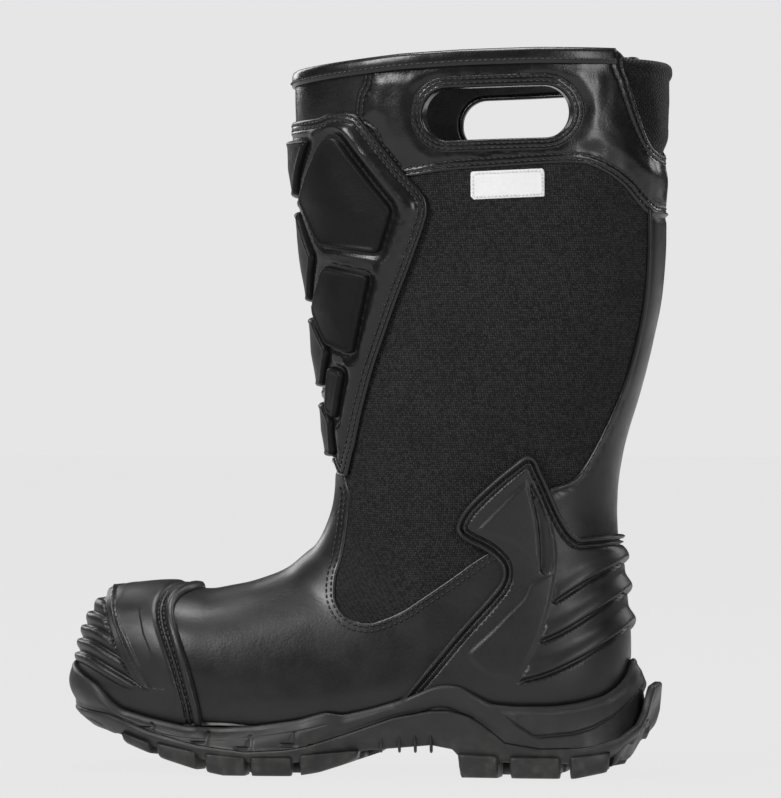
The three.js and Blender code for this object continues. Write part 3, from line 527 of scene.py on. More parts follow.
HEEL_COUNTER = [(10, 18), (29.8, 43), (47.9, 65), (55.9, 74.6), (63.9, 83.4), (74.3, 94.6),
                (79.7, 101.7), (81, 108.1), (78.2, 112.8), (71.9, 117.6), (62.3, 122.3),
                (57.4, 126.2), (56.2, 130.3), (58.4, 135.8), (64.1, 143), (76.4, 154.2),
                (88.4, 163.7), (92.5, 166.6), (96.2, 167.7), (99.9, 165.2), (102, 160.5),
                (106.3, 151.7), (110.7, 142.2), (115, 134.2), (119.4, 127.8), (123.6, 124.8),
                (130.3, 125.2), (180, 128), (180, 0), (10, 0)]
TOE_GUARD = [(-180, 112), (-88, 112), (-85.5, 103), (-87, 97.5), (-92, 95), (-96.5, 92), (-98, 87),
             (-96, 80), (-91.3, 70), (-86.5, 58), (-82.3, 44), (-79.3, 30), (-77.5, 0), (-180, 0)]
PULL_HOLE = dict(x=79, z=344.6, length=77, height=27, tilt=1.5)
MIDDLE_PADS = [[(-9, 334), (40.8, 332.6), (18.3, 304.6), (-9, 303)],
               [(-9, 297), (17, 295.6), (32, 271.4), (18.4, 249), (-9, 248)],
               [(-9, 241), (20.4, 239.5), (35.2, 222.5), (23.4, 204), (-9, 203)],
               [(-9, 196), (18.7, 194.7), (28, 185.8), (24, 167.3), (-9, 166)]]
SIDE_PADS = [[(52.8, 333.7), (61, 333.4), (90, 295.3), (78.4, 272), (39.5, 277), (25.1, 301.7)],
             [(40.8, 267), (71.3, 261.3), (53.2, 219.8), (33.8, 225.2), (22.4, 243.7)],
             [(33.5, 214.7), (45.6, 211), (32.7, 185.8), (23.3, 191)]]


# Outlines on the heel, the toe and the sole are laid out along the boot's side and on round its ends,
# where a point counts as further on the further it has turned in from the side.
TURN_IN = 0.2126
HEEL_RUN = 10.6


def along_side(points, start):
    """Distance along the boot's side, running on round the heel behind a start."""
    run = HEEL_RUN - TURN_IN * (np.hypot(points[:, 1], 6) - 1)
    return points[:, 0] + np.clip((points[:, 0] - start) / 50, 0, 1) * run


class View:
    """A skin's points seen from the side and from behind, just outside the upper."""

    def __init__(self, skin):
        q = (skin.points + 6 * skin.normals).reshape(-1, 3)
        self.q = q
        self.side = q[:, [0, 2]]
        outer = (skin.points + 9.5 * skin.normals).reshape(-1, 3)
        self.wrap, self.high = along_side(outer, 60), outer[:, 2]
        self.heel = np.stack([self.wrap, self.high], 1)
        self.toe = outer[:, 0] + 0.5 - TURN_IN * (np.hypot(outer[:, 1] - 8, 6) - 6)
        self.back = np.stack([np.abs(q[:, 1]), q[:, 2]], 1)
        # The shin's pads are laid out by the distance round from its front.
        r = skin.points + 9 * skin.normals
        step = np.linalg.norm(np.roll(r, -1, 1) - r, axis=2)
        half = skin.columns // 2
        arc = np.zeros(step.shape)
        arc[:, 1:half + 1] = np.cumsum(step[:, :half], 1)
        arc[:, half + 1:] = np.cumsum(step[:, half:][:, ::-1], 1)[:, ::-1][:, 1:]
        self.shin = np.stack([arc.ravel(), r[..., 2].ravel()], 1)
        self.below_top = np.interp(q[:, 0], TOP_LINE[:, 0], TOP_LINE[:, 1]) - q[:, 2]

    def hole(self):
        """Distance outside the pull hole."""
        h = PULL_HOLE
        a = math.radians(h["tilt"])
        dx, dz = self.side[:, 0] - h["x"], self.side[:, 1] - h["z"]
        u, v = dx * math.cos(a) + dz * math.sin(a), -dx * math.sin(a) + dz * math.cos(a)
        half = (h["length"] - h["height"]) / 2
        return np.hypot(np.maximum(np.abs(u) - half, 0), v) - h["height"] / 2

    def notch(self):
        """Distance inside the notch at the back of the collar."""
        outline = np.vstack([NOTCH, NOTCH[:-1][::-1] * (-1, 1)])
        inside = depth_in(self.back, rounded(outline, True, 6))
        return np.where(self.q[:, 0] > 100, inside, -50.0)


COARSE = Skin(2.4, 150)
FINE = Skin(1.5, 236)
TIP = Skin(1.0, 300, 14.0)
BROAD, NEAR, TOE = View(COARSE), View(FINE), View(TIP)


def finish(obj, slot, *nodes):
    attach(obj, "root")
    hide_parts(*nodes)
    return obj


def stuffed(obj, slot, fill, *nodes):
    finish(obj, slot, *nodes)
    return obj


def detail(obj, slot):
    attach(obj, "root")
    return obj


# ---------------------------------------------------------------- materials

class Tree:
    """A material's node tree in the making."""

    def __init__(self, name):
        self.material = bpy.data.materials.new(name)
        self.material.use_nodes = True
        self.nodes = self.material.node_tree.nodes
        self.links = self.material.node_tree.links
        self.shader = self.nodes["Principled BSDF"]
        self.place = self.add("TexCoord").outputs["Object"]
        self.normal = None

    def add(self, kind, inputs=None, **settings):
        node = self.nodes.new("ShaderNode" + kind)
        for key, value in settings.items():
            setattr(node, key, value)
        for key, value in (inputs or {}).items():
            self.set(node.inputs[key], value)
        return node

    def set(self, socket, value):
        if isinstance(value, bpy.types.NodeSocket):
            self.links.new(value, socket)
        else:
            socket.default_value = value

    def maths(self, operation, a, b=0.0, c=0.0):
        return self.add("Math", {0: a, 1: b, 2: c}, operation=operation).outputs[0]

    def fit(self, value, low, high, to_low=0.0, to_high=1.0):
        return self.add("MapRange", {"Value": value, "From Min": low, "From Max": high,
                                     "To Min": to_low, "To Max": to_high}).outputs["Result"]

    def noise(self, size, detail=3.0, roughness=0.55, vector=None):
        """Noise with features of a size in mm."""
        return self.add("TexNoise", {"Vector": vector or self.place, "Scale": 1000 / size,
                                     "Detail": detail, "Roughness": roughness}).outputs["Fac"]

    def cells(self, size, vector=None, feature="SMOOTH_F1"):
        node = self.add("TexVoronoi", {"Vector": vector or self.place, "Scale": 1000 / size},
                        feature=feature)
        return node.outputs["Distance"]

    def attribute(self, name):
        return self.add("Attribute", attribute_name=name)

    def weave(self, pitch):
        """Height of a plain weave of threads a pitch (mm) apart, and a random value for each thread."""
        vector = self.add("VectorMath", {0: self.attribute("cloth").outputs["Vector"],
                                         "Scale": 1 / pitch}, operation="SCALE").outputs[0]
        sway = self.add("TexNoise", {"Vector": self.place, "Scale": 90.0}).outputs["Color"]
        sway = self.add("VectorMath", {0: sway, "Scale": 0.5}, operation="SCALE").outputs[0]
        vector = self.add("VectorMath", {0: vector, 1: sway}, operation="ADD").outputs[0]
        part = self.add("SeparateXYZ", {0: vector}).outputs
        waves = [self.maths("SINE", self.maths("MULTIPLY", part[k], math.pi)) for k in (0, 1)]
        over = self.maths("GREATER_THAN", self.maths("MULTIPLY", *waves), 0.0)
        under = self.maths("SUBTRACT", 1.0, over)
        warp = self.maths("MULTIPLY", self.maths("ABSOLUTE", waves[0]), over)
        weft = self.maths("MULTIPLY", self.maths("ABSOLUTE", waves[1]), under)
        cell = self.add("VectorMath", {0: vector}, operation="FLOOR").outputs[0]
        thread = self.add("TexWhiteNoise", {"Vector": cell}, noise_dimensions="3D").outputs["Value"]
        return self.maths("ADD", warp, weft), thread

    def raise_by(self, height, distance):
        """Adds a bump of a height field, a distance (mm) high."""
        inputs = {"Height": height, "Distance": distance * MM, "Strength": 1.0}
        if self.normal:
            inputs["Normal"] = self.normal
        self.normal = self.add("Bump", inputs).outputs["Normal"]

    def colour(self, value, dark, light):
        ramp_node = self.add("ValToRGB", {"Fac": value})
        ramp_node.color_ramp.elements[0].color = (*dark, 1)
        ramp_node.color_ramp.elements[1].color = (*light, 1)
        return ramp_node.outputs["Color"]

    def lighter_at_edges(self, colour, light, width, amount):
        """Mixes in a lighter colour, broken up by noise, within a width (mm) of the piece's edge."""
        edge = self.attribute("edge").outputs["Fac"]
        edge = self.maths("ADD", edge, self.fit(self.noise(5.0), 0.3, 0.7, -width * 0.6, width * 0.6))
        share = self.fit(edge, 0.0, width, amount, 0.0)
        mix = self.add("Mix", {0: share, 6: colour, 7: (*light, 1)}, data_type="RGBA")
        return mix.outputs[2]

    def end(self, colour, roughness, **sockets):
        self.set(self.shader.inputs["Base Color"], colour)
        self.set(self.shader.inputs["Roughness"], roughness)
        if self.normal:
            self.set(self.shader.inputs["Normal"], self.normal)
        for key, value in sockets.items():
            self.shader.inputs[key.replace("_", " ")].default_value = value
        return self.material


def grey(value, warm=0.0):
    return (value * (1 + warm), value, value * (1 - warm))


def leather(name, dark, light, rough, grain=1.3, depth=0.045, crease=0.10, shine=0.0, wear=0.35):
    t = Tree(name)
    soft = t.noise(34.0, 4.0)
    colour = t.colour(t.fit(soft, 0.35, 0.65), grey(dark), grey(light))
    colour = t.lighter_at_edges(colour, grey(light * 2.4), 1.6, wear)
    pores = t.cells(grain)
    t.raise_by(t.noise(9.0, 4.0, 0.6), crease)
    t.raise_by(pores, -depth)
    t.raise_by(t.noise(0.45, 2.0), 0.02)
    rough_noise = t.maths("ADD", t.noise(16.0, 5.0, 0.65), t.maths("MULTIPLY", pores, 0.25))
    return t.end(colour, t.fit(rough_noise, 0.4, 0.9, rough - 0.06, rough + 0.12),
                 Specular_IOR_Level=0.34, Coat_Weight=shine, Coat_Roughness=0.22)


def rubber(name, dark, light, rough, grain=0.7, depth=0.03, wear=0.25, dust=0.0, gloss=0.34):
    t = Tree(name)
    soft = t.noise(22.0, 5.0, 0.6)
    colour = t.colour(t.fit(soft, 0.3, 0.7), grey(dark), grey(light))
    if dust:
        up = t.add("SeparateXYZ", {0: t.place}).outputs[2]
        low = t.maths("MULTIPLY", t.fit(up, 0.0, 0.03, 1.0, 0.0),
                      t.fit(t.noise(7.0, 6.0), 0.45, 0.7, 0.0, dust))
        mix = t.add("Mix", {0: low, 6: colour, 7: (*grey(light * 4, 0.08), 1)}, data_type="RGBA")
        colour = mix.outputs[2]
    if wear:
        colour = t.lighter_at_edges(colour, grey(light * 2.2), 1.2, wear)
    t.raise_by(t.noise(12.0, 3.0), 0.10)
    t.raise_by(t.cells(grain, feature="F1"), -depth)
    t.raise_by(t.noise(0.3, 2.0), 0.012)
    return t.end(colour, t.fit(t.noise(10.0, 6.0, 0.7), 0.3, 0.7, rough - 0.05, rough + 0.1),
                 Specular_IOR_Level=gloss)


def woven(name, pitch, dark, light, rough, height, sheen=0.15):
    t = Tree(name)
    weave, thread = t.weave(pitch)
    # The colour follows the weave's height: painted highlight on the crowns of the threads and painted shade
    # in the gaps between them, times a real random tone for each thread.
    fleck_and_painted_highlight = t.maths("MULTIPLY", weave, t.fit(thread, 0.0, 1.0, 0.25, 1.0))
    broad = t.fit(t.noise(30.0, 4.0), 0.3, 0.7, 0.8, 1.1)
    colour = t.colour(t.maths("MULTIPLY", fleck_and_painted_highlight, broad), grey(dark), grey(light))
    t.raise_by(t.noise(14.0, 3.0), 0.12)
    t.raise_by(weave, height)
    t.raise_by(t.noise(0.35, 2.0), 0.04)
    return t.end(colour, t.fit(thread, 0.0, 1.0, rough - 0.08, rough + 0.08),
                 Sheen_Weight=sheen, Sheen_Roughness=0.4, Specular_IOR_Level=0.15)


def plain(name, dark, light, rough, size, depth, metallic=0.0):
    t = Tree(name)
    colour = t.colour(t.fit(t.noise(size * 6, 5.0), 0.3, 0.7), dark, light)
    t.raise_by(t.noise(size, 4.0), depth)
    return t.end(colour, t.fit(t.noise(size * 3, 4.0), 0.3, 0.7, rough - 0.05, rough + 0.1),
                 Metallic=metallic)


def fleecy(name, dark, light, pitch, height):
    """Looped knit: rows of little loops over the cloth."""
    t = Tree(name)
    weave, thread = t.weave(pitch)
    loops = t.cells(pitch * 1.1)
    # Painted shade: the colour darkens where the surface sinks between the loops, times a real random tone
    # for each thread.
    shade = t.maths("MULTIPLY", t.fit(loops, 0.0, 0.7, 1.0, 0.2), t.fit(thread, 0.0, 1.0, 0.4, 1.0))
    colour = t.colour(shade, grey(dark), grey(light))
    t.raise_by(loops, -height)
    t.raise_by(weave, height * 0.6)
    t.raise_by(t.noise(0.4, 3.0), 0.1)
    return t.end(colour, 0.95, Sheen_Weight=0.12, Sheen_Roughness=0.5, Specular_IOR_Level=0.12)


LEATHER = leather("leather", 0.0080, 0.0130, 0.36, shine=0.14, wear=0.08)
COLLAR_LEATHER = leather("collar_leather", 0.0042, 0.0075, 0.27, grain=1.1, crease=0.24, shine=0.32,
                         wear=0.1)
GUARD_LEATHER = leather("guard_leather", 0.0042, 0.0075, 0.29, grain=1.2, crease=0.22, shine=0.26,
                        wear=0.1)
MOULDED = rubber("moulded_rubber", 0.0105, 0.0155, 0.37, gloss=0.4)
PAD_RUBBER = rubber("pad_rubber", 0.0030, 0.0055, 0.40, grain=0.9, depth=0.06, wear=0.5, gloss=0.18)
SOLE_RUBBER = rubber("sole_rubber", 0.0185, 0.0270, 0.44, grain=0.6, depth=0.02, wear=0.0, dust=0.35)
TEXTILE = woven("woven_textile", 1.2, 0.0013, 0.038, 0.74, 0.32, sheen=0.06)
KNIT = woven("knit_lining", 1.9, 0.002, 0.030, 0.85, 0.5, sheen=0.3)
ELASTIC = fleecy("gusset_knit", 0.0015, 0.018, 1.0, 0.45)
LABEL_CLOTH = woven("woven_label", 0.45, 0.76, 0.91, 0.7, 0.05)
THREAD = plain("thread", grey(0.005), grey(0.018), 0.45, 0.5, 0.05)
LABEL_THREAD = plain("label_thread", grey(0.55), grey(0.75), 0.6, 0.5, 0.05)
FELT = plain("insulation_felt", grey(0.40, 0.12), grey(0.55, 0.12), 0.95, 1.2, 0.2)
MEMBRANE = plain("membrane", grey(0.65), grey(0.75), 0.5, 1.5, 0.04)
FOAM = plain("foam", grey(0.03), grey(0.05), 0.9, 0.8, 0.12)
STEEL = plain("steel", grey(0.35), grey(0.45), 0.32, 2.0, 0.02, metallic=1.0)
BOARD = plain("stiffener_board", grey(0.22, 0.25), grey(0.28, 0.25), 0.85, 0.7, 0.05)


# ---------------------------------------------------------------- fields that bound the panels

def panel_fields(view):
    """Signed distances (mm, positive inside) to the seams, for every point of a skin."""
    q, side = view.q, view.side
    quarter = [*QUARTER_FRONT, (135, 150), (200, 160), (200, 330), (27, 330)]
    back_edge = np.vstack([BACKSTAY, BACKSTAY[::-1] * (-1, 1)])
    behind = np.where(q[:, 0] > 90, depth_in(view.back, rounded(back_edge, True, 6, 70)), -60.0)
    collar = rounded([(-60, 344), *COLLAR_SEAM, (200, 420), (-60, 420)], True, 6)
    front_line = rounded([*COLLAR_FRONT_SEAM, (-90, 320), (-90, 400)], True, 6)
    return dict(
        quarter=depth_in(side, rounded(quarter, True, 6, 60)),
        backstay=behind,
        collar=depth_in(side, collar),
        collar_front=depth_in(side, front_line),
        guard=depth_in(side, rounded(SHIN_GUARD, True, 6)),
        counter=np.where(q[:, 0] > 0, depth_in(view.heel, rounded(HEEL_COUNTER, True, 6)), -60.0),
        toe=depth_in(side, rounded(TOE_GUARD, True, 6)),
        hole=view.hole(),
        notch=view.notch(),
        top=view.below_top,
        under=plan_depth(q))


# The sole in plan [x, y], from the toe's tip round the outer side to the heel's back and on.
PLAN_POINTS = [(-157.5, 8), (-151, -14), (-136, -34), (-110, -49.5), (-75, -57), (-40, -56), (0, -49),
               (45, -45), (90, -45), (125, -40), (146, -25), (153, 0), (146, 25), (125, 40), (90, 42),
               (45, 38), (0, 41), (-40, 51), (-75, 57), (-110, 56.5), (-136, 46), (-151, 31)]


# The lasting margin leaves the upper open under the foot: the plan shrunk to lie between two ends.
MARGIN = dict(toe=-141, heel=117, across=0.79, top=32)


def plan_depth(q):
    """Distance inwards of the lasting margin's edge, for points under the foot; negative elsewhere."""
    plan = rounded(PLAN_POINTS, True, 6, 90)
    tip, back = PLAN_POINTS[0][0], PLAN_POINTS[11][0]
    along = MARGIN["toe"] + (plan[:, 0] - tip) * ((MARGIN["heel"] - MARGIN["toe"]) / (back - tip))
    inside = depth_in(q[:, :2], np.stack([along, plan[:, 1] * MARGIN["across"]], 1))
    return np.where(q[:, 2] < 60, inside - np.maximum(q[:, 2] - MARGIN["top"], 0), -30.0)


F, G = panel_fields(BROAD), panel_fields(NEAR)


def cuts_for(name, *centres, half=0.9):
    """Cut lines that give a groove or ridge at each centre of a field a crisp shape."""
    return [(name, c + k * half) for c in centres for k in (-1, 0, 1)]


def panel(name, skin, field, outer, inner, material, slot, radius=0.9, drop=0.8, seed=1,
          waves=((30, 0.10),)):
    """A flat-sewn panel: a shell with rounded edges and gentle undulation."""
    sheet = Sheet(skin, field, (radius * 0.15, radius * 0.5, radius, 3.0))
    wave = sum(amount * noise(sheet.q, size, seed + k, 2) for k, (size, amount) in enumerate(waves))
    sheet["height"] = edge_round(sheet.depth, outer + wave * ramp(sheet.depth, 0.3, 4.0), drop, radius)
    finish(sheet.solid(name, inner, material), slot, name)
    return sheet


def sew(name, sheet, field, levels, slot, where=None, lift=0.12, scale=1.0, material=None):
    """Rows of thread stitches along levels of one of a sheet's fields."""
    parts = []
    top = sheet.names["height"]
    for level in levels:
        for rows in chains(sheet, sheet[field], level, where):
            n = rows[:, 3:6] / np.linalg.norm(rows[:, 3:6], axis=1, keepdims=True)
            p, n = resample(rows[:, :3] + n * (rows[:, top:top + 1] + lift), 0.8, n)
            if len(p) > 8:
                parts += stitch_parts(smooth_line(p), n, scale)
    points, faces = merge(parts)
    return detail(to_object(name, points, faces, material or THREAD), slot)


SIDES = ((-1, "outer_side"), (1, "inner_side"))


def one_side(view, side):
    """Positive on one side of the boot, with the far side cut off; the seam at the back lies at 0."""
    y = side * view.q[:, 1]
    return np.where(view.q[:, 0] > 60, y - 0.15, np.where(y > 0, 50, -5))


# Heights of the layers over the lining's inner face (mm).
TEXTILE_TOP = 5.3
PANEL_INNER = 5.4
PANEL_TOP = 6.5
OVERLAY_INNER = 6.6
OVERLAY_TOP = 9.2
STITCH_ROWS = (2.1, 4.7)  # distance of the two rows of stitches from a seam's edge
LINING_DROP = 1.9  # how far the lining stays below the top line
LINING_HOLE = 1.7  # and from the pull hole
COLLAR_FOOT = 322  # height of the lower edge of what lies inside the collar

# ---------------------------------------------------------------- lining and facing

inner_edge = np.minimum(F["top"] - LINING_DROP, F["hole"] - LINING_HOLE)
lining = Sheet(COARSE, inner_edge, (0.8,))
folds = 0.35 * noise(lining.q, 18, 5, 2) + 0.4 * noise(lining.q, 50, 6, 2)
lining["height"] = 1.3
finish(lining.solid("lining", 0.15 + np.clip(folds, -0.1, 0.6), KNIT), "knit_lining", "lining")

facing = Sheet(COARSE, np.minimum(inner_edge, BROAD.q[:, 2] - COLLAR_FOOT), (0.5, 1.2, 2.4))
facing["height"] = -0.3
finish(facing.solid("collar_facing", -1.3 + 0.7 * ramp(0.8 - facing.depth, 0, 0.8), COLLAR_LEATHER),
       "knit_lining", "collar_facing")
facing["height"] = -1.3
sew("collar_facing_stitching", facing, "depth", (2.4,), "knit_lining",
    lambda r: r[:, 2] < COLLAR_FOOT + 4, -0.12)

# ---------------------------------------------------------------- hidden layers

INSIDE = Skin(4.0, 96)
DEEP = View(INSIDE)
CAP_BACK, STIFFENER_FRONT, STIFFENER_TOP = -98, 74, 104
x, z = DEEP.q[:, 0], DEEP.q[:, 2]
under_foot = plan_depth(DEEP.q)
below_collar = COLLAR_FOOT - z
in_toe = np.minimum(CAP_BACK - x, -under_foot)
in_heel = np.minimum.reduce([x - STIFFENER_FRONT, STIFFENER_TOP - z, -under_foot])
around_stiffeners = np.minimum(below_collar, -np.maximum(in_toe, in_heel))
in_collar = np.minimum.reduce([DEEP.below_top - LINING_DROP, DEEP.hole() - LINING_HOLE, -below_collar - 0.3])
HIDDEN = [("moisture_barrier", below_collar, 1.6, 2.3, MEMBRANE, "membrane"),
          ("insulation", around_stiffeners, 2.6, 4.0, FELT, "insulation_felt"),
          ("safety_toe_cap", in_toe - 0.3, 2.6, 4.0, STEEL, "steel"),
          ("heel_stiffener", in_heel - 0.3, 2.6, 4.0, BOARD, "stiffener_board"),
          ("collar_padding", in_collar, 1.6, 4.0, FOAM, "foam")]
for name, field, low, high, material, slot in HIDDEN:
    s = Sheet(INSIDE, field)
    s["height"] = high
    finish(s.solid(name, low, material), slot, name)

# ---------------------------------------------------------------- quarters

for side, label in SIDES:
    field = np.minimum.reduce([F["quarter"] + 3, -F["backstay"] + 3, -F["collar"] + 3,
                               one_side(BROAD, side)])
    panel("quarter_" + label, COARSE, field, TEXTILE_TOP, 4.3, TEXTILE, "woven_textile",
          seed=11 + side, waves=((45, 0.35), (16, 0.12)))

# ---------------------------------------------------------------- leather panels

vamp_field = np.minimum.reduce([-F["quarter"], 158 - BROAD.q[:, 2], 94 - BROAD.q[:, 0], -F["under"]])
vamp = panel("vamp", COARSE, vamp_field, PANEL_TOP, PANEL_INNER, LEATHER, "leather", seed=21,
             waves=((60, 0.55), (22, 0.18)), radius=1.1, drop=1.0)
sew("vamp_stitching", vamp, "depth", STITCH_ROWS, "leather",
    lambda r: (r[:, 2] > 60) & (r[:, 2] < 152) & (r[:, 0] < 90))

lower_back = np.minimum.reduce([BROAD.q[:, 0] - 94, 156 - BROAD.q[:, 2], -F["quarter"]])
backstay_field = np.minimum.reduce([np.maximum(lower_back, F["backstay"]), -F["under"],
                                    -F["collar"] + 3])
s = Sheet(COARSE, backstay_field, (0.25, 0.8, 1.5, 2.4, 3.2), seam=-F["quarter"])
wave = 0.6 * noise(s.q, 40, 31, 2) + 0.2 * noise(s.q, 14, 32, 2)
piping = 1.1 * bump(s.depth, 1.2, 1.4) - 0.5 * bump(s.depth, 3.0, 0.8)
piping *= ramp(s.q[:, 2], 110, 125) * ramp(300 - s.q[:, 2], 0, 6)
s["height"] = edge_round(s.depth, PANEL_TOP + wave * ramp(s.depth, 2.4, 8) + piping, 0.9, 0.8)
finish(s.solid("backstay", PANEL_INNER, LEATHER), "leather", "backstay")

front_field = np.minimum.reduce([F["collar_front"], F["top"] - 3, BROAD.q[:, 2] - 338])
panel("collar_front", COARSE, front_field, PANEL_TOP - 0.5, PANEL_INNER - 0.6, COLLAR_LEATHER,
      "collar_leather", seed=41, waves=((25, 0.4),))

shin_field = np.minimum.reduce([-F["quarter"], BROAD.q[:, 2] - 150, 343 - BROAD.q[:, 2],
                                26 - BROAD.q[:, 0]])
panel("shin_panel", COARSE, shin_field, 6.0, 4.6, LEATHER, "leather")

# ---------------------------------------------------------------- padded collar panels

for side, label in SIDES:
    edges = np.minimum.reduce([G["collar"], -G["collar_front"] + 1.5, -G["notch"]])
    field = np.minimum.reduce([edges, G["top"] - 3, G["hole"] - 1.7, one_side(NEAR, side)])
    s = Sheet(FINE, field, (0.2, 0.6, 1.2), cuts_for("edges", *STITCH_ROWS), edges=edges,
              hole=G["hole"], top=G["top"])
    e, q = s["edges"], s.q
    puff = 1.3 * ramp(e, 4.5, 14) * ramp(s["hole"], 5, 12) * ramp(s["top"], 8, 16)
    crease = (0.9 * noise(q, 26, 51 + side, 2) + 0.3 * noise(q, 9, 52 + side, 2)) * ramp(e, 1, 8)
    pull = 0.55 * noise(q * (1, 1, 0.25), 6, 55, 2) * ramp(e, 3.5, 7) * ramp(18 - e, 0, 12)
    around_hole = 0.4 * noise(q * (1, 1, 0.4), 5, 57, 2) * ramp(14 - s["hole"], 0, 7)
    pull += around_hole * ramp(s["hole"], 5, 8) * ramp(e, 3, 7)
    groove = 0.45 * sum(bump(e, row, 0.9) for row in STITCH_ROWS)
    s["height"] = edge_round(s.depth, PANEL_TOP + puff + crease + pull - groove, 0.95, 1.2)
    piece = s.solid("collar_" + label, PANEL_INNER, COLLAR_LEATHER)
    stuffed(piece, "collar_leather", 0.7, "collar_" + label)
    sew(f"collar_{label}_stitching", s, "edges", STITCH_ROWS, "collar_leather",
        lambda r: (r[:, 8] > 1.6) & (r[:, 2] < 369))

# ---------------------------------------------------------------- knit gusset

s = Sheet(FINE, np.minimum(G["notch"] + 3.0, G["top"] - 1.2), (0.5, 1.5, 3.0), notch=G["notch"],
          top=G["top"])
ribs = 0.22 * np.sin(2 * math.pi * s.cloth[:, 0] / 2.0)
waves = 0.7 * noise(s.q * (0.4, 0.4, 1.2), 9, 61, 2)
surface = (4.9 + 3.2 * ramp(s["notch"], -0.5, 11) + (ribs + waves) * ramp(s["notch"], 0, 4)
           + 1.6 * bump(s["top"], 5.5, 5.0))
s["height"] = edge_round(s.depth, surface, 1.5, 3.0)
finish(s.solid("collar_gusset", 4.2, ELASTIC), "gusset_knit", "collar_gusset")

# ---------------------------------------------------------------- shin guard and its pads

PAD_CORNER = 3.6
pads = {}
for i, outline in enumerate(MIDDLE_PADS):
    inside = depth_in(NEAR.shin, soften(outline, PAD_CORNER))
    pads[f"middle_{i + 1}"] = np.where(NEAR.q[:, 0] < 60, inside, -50)
for i, outline in enumerate(SIDE_PADS):
    inside = depth_in(NEAR.shin, soften(outline, PAD_CORNER))
    for side, label in SIDES:
        here = (NEAR.q[:, 0] < 90) & (side * NEAR.q[:, 1] > 0)
        pads[f"{label.split('_')[0]}_{i + 1}"] = np.where(here, inside, -50)
nearest_pad = np.maximum.reduce(list(pads.values()))

s = Sheet(FINE, G["guard"], (0.25, 0.8, 1.6), cuts_for("depth", *STITCH_ROWS) + [
    ("pad", -3.1), ("pad", -1.6)], pad=nearest_pad)
e, pad, q = s.depth, s["pad"], s.q
border = 2.0 * bump(e, 11, 6.5) * ramp(-pad, 2.5, 6.5)
pleats = noise(q * (0.4, 1, 1), 4.2, 71, 2) * ramp(e, 2.5, 5.5) * ramp(14 - e, 0, 7) * ramp(-pad, 3.0, 7.0)
puckers = 0.42 * pleats + 0.40 * noise(q, 16, 72, 2) * ramp(e, 1, 8) * ramp(-pad, 2.5, 6)
channel = 0.8 * ramp(pad, -3.1, -1.6)
groove = 0.5 * sum(bump(e, row, 0.9) for row in STITCH_ROWS)
surface = 8.4 + 0.9 * ramp(e, 4, 11) + border + puckers - channel - groove
s["height"] = edge_round(e, surface, 1.4, 1.6)
guard = s.solid("shin_guard", np.where(e > 7, 7.75, OVERLAY_INNER), GUARD_LEATHER)
stuffed(guard, "collar_leather", 0.6, "shin_guard")
sew("shin_guard_stitching", s, "depth", STITCH_ROWS, "collar_leather")

for key, field in pads.items():
    s = Sheet(FINE, field, (0.12, 0.35, 0.7, 1.1, 1.6, 2.4, 3.4))
    rise = 3.0 * np.sqrt(1 - (1 - np.clip(s.depth / 1.6, 0, 1)) ** 2)
    surface = 8.9 + rise - 0.4 * ramp(s.depth, 1.6, 3.4) + 0.9 * ramp(s.depth, 3.4, 22)
    s["height"] = surface
    finish(s.solid("shin_pad_" + key, 8.0, PAD_RUBBER), "pad_rubber", "shin_pad_" + key)

# ---------------------------------------------------------------- moulded heel counter

# Outlines [along, z]: the strip down the middle, the wing's face in front of it, the blade between.
STRIP = [(105.8, 107.1), (100, 104), (95.6, 100.9), (92, 93.8), (83.1, 85), (74.1, 76.1), (64.3, 67.3),
         (62.8, 63.8), (64.3, 60.2), (70.5, 54.9), (79.5, 51.4), (90.2, 50.3), (100.1, 69.1),
         (105.5, 83.2), (109.1, 97.3), (110.8, 107.9), (111.7, 116.8), (110, 127.4), (106.4, 139.7),
         (102.8, 148.6), (99.2, 155.6), (98.3, 152.1), (102.4, 139.7), (104.9, 127.4), (106.4, 116.8)]
FACE = [(65.2, 127.7), (94.4, 156), (97.4, 146.8), (100.1, 136.2), (101.7, 123.8), (102.1, 115),
        (101.4, 109.4), (95.6, 114.5), (88.4, 120.7), (81.3, 123.5), (74.1, 125)]
BLADE = [(95, 157), (103.4, 141), (107, 128), (108.6, 117), (107.5, 106.6), (104.5, 105),
         (101.6, 107), (101.7, 115), (101.3, 123.8), (99.6, 136.2), (97, 146.8)]
HEEL_RIBS = [
    [(110, 93.8), (118, 98.6), (127.9, 104.4), (138.6, 109.7), (148.5, 114.8), (156, 117), (180, 118)],
    [(102.8, 73.5), (113.5, 77.9), (127.9, 85.9), (142.2, 94.6), (150, 99.6), (156, 102), (180, 103)],
    [(91.1, 52.3), (106.4, 56.7), (124.3, 64.7), (142.2, 75.2), (150, 81), (157, 84), (180, 85)]]

rib_fields = {}
for i, points in enumerate(HEEL_RIBS):
    line = rounded(points, False, 6, 170)
    rib_fields[f"rib{i}"] = NEAR.high - np.interp(NEAR.wrap, line[:, 0], line[:, 1])
cuts = (cuts_for("counter", 1.3, half=1.3) + cuts_for("counter", 3.1, 5.3, half=0.7)
        + [(name, level) for name in ("strip", "face") for level in (0.0, 0.9, 1.9, 2.8)]
        + [("blade", 0.0), ("blade", 0.5), ("blade", 1.0)]
        + [(name, level) for name in rib_fields for level in (-4.0, -3.0, -2.0, -1.1, -0.3, 0.5, 2.0, 5.0)])
s = Sheet(FINE, np.minimum(G["counter"], -G["under"]), (0.3, 1.1), cuts, counter=G["counter"],
          strip=depth_in(NEAR.heel, rounded(STRIP, True, 4, 60)),
          face=depth_in(NEAR.heel, soften(FACE, 2.5)),
          blade=depth_in(NEAR.heel, rounded(BLADE, True, 4, 60)),
          wrap=NEAR.wrap, **rib_fields)
e = s["counter"]
rib_rise = np.zeros(len(e))
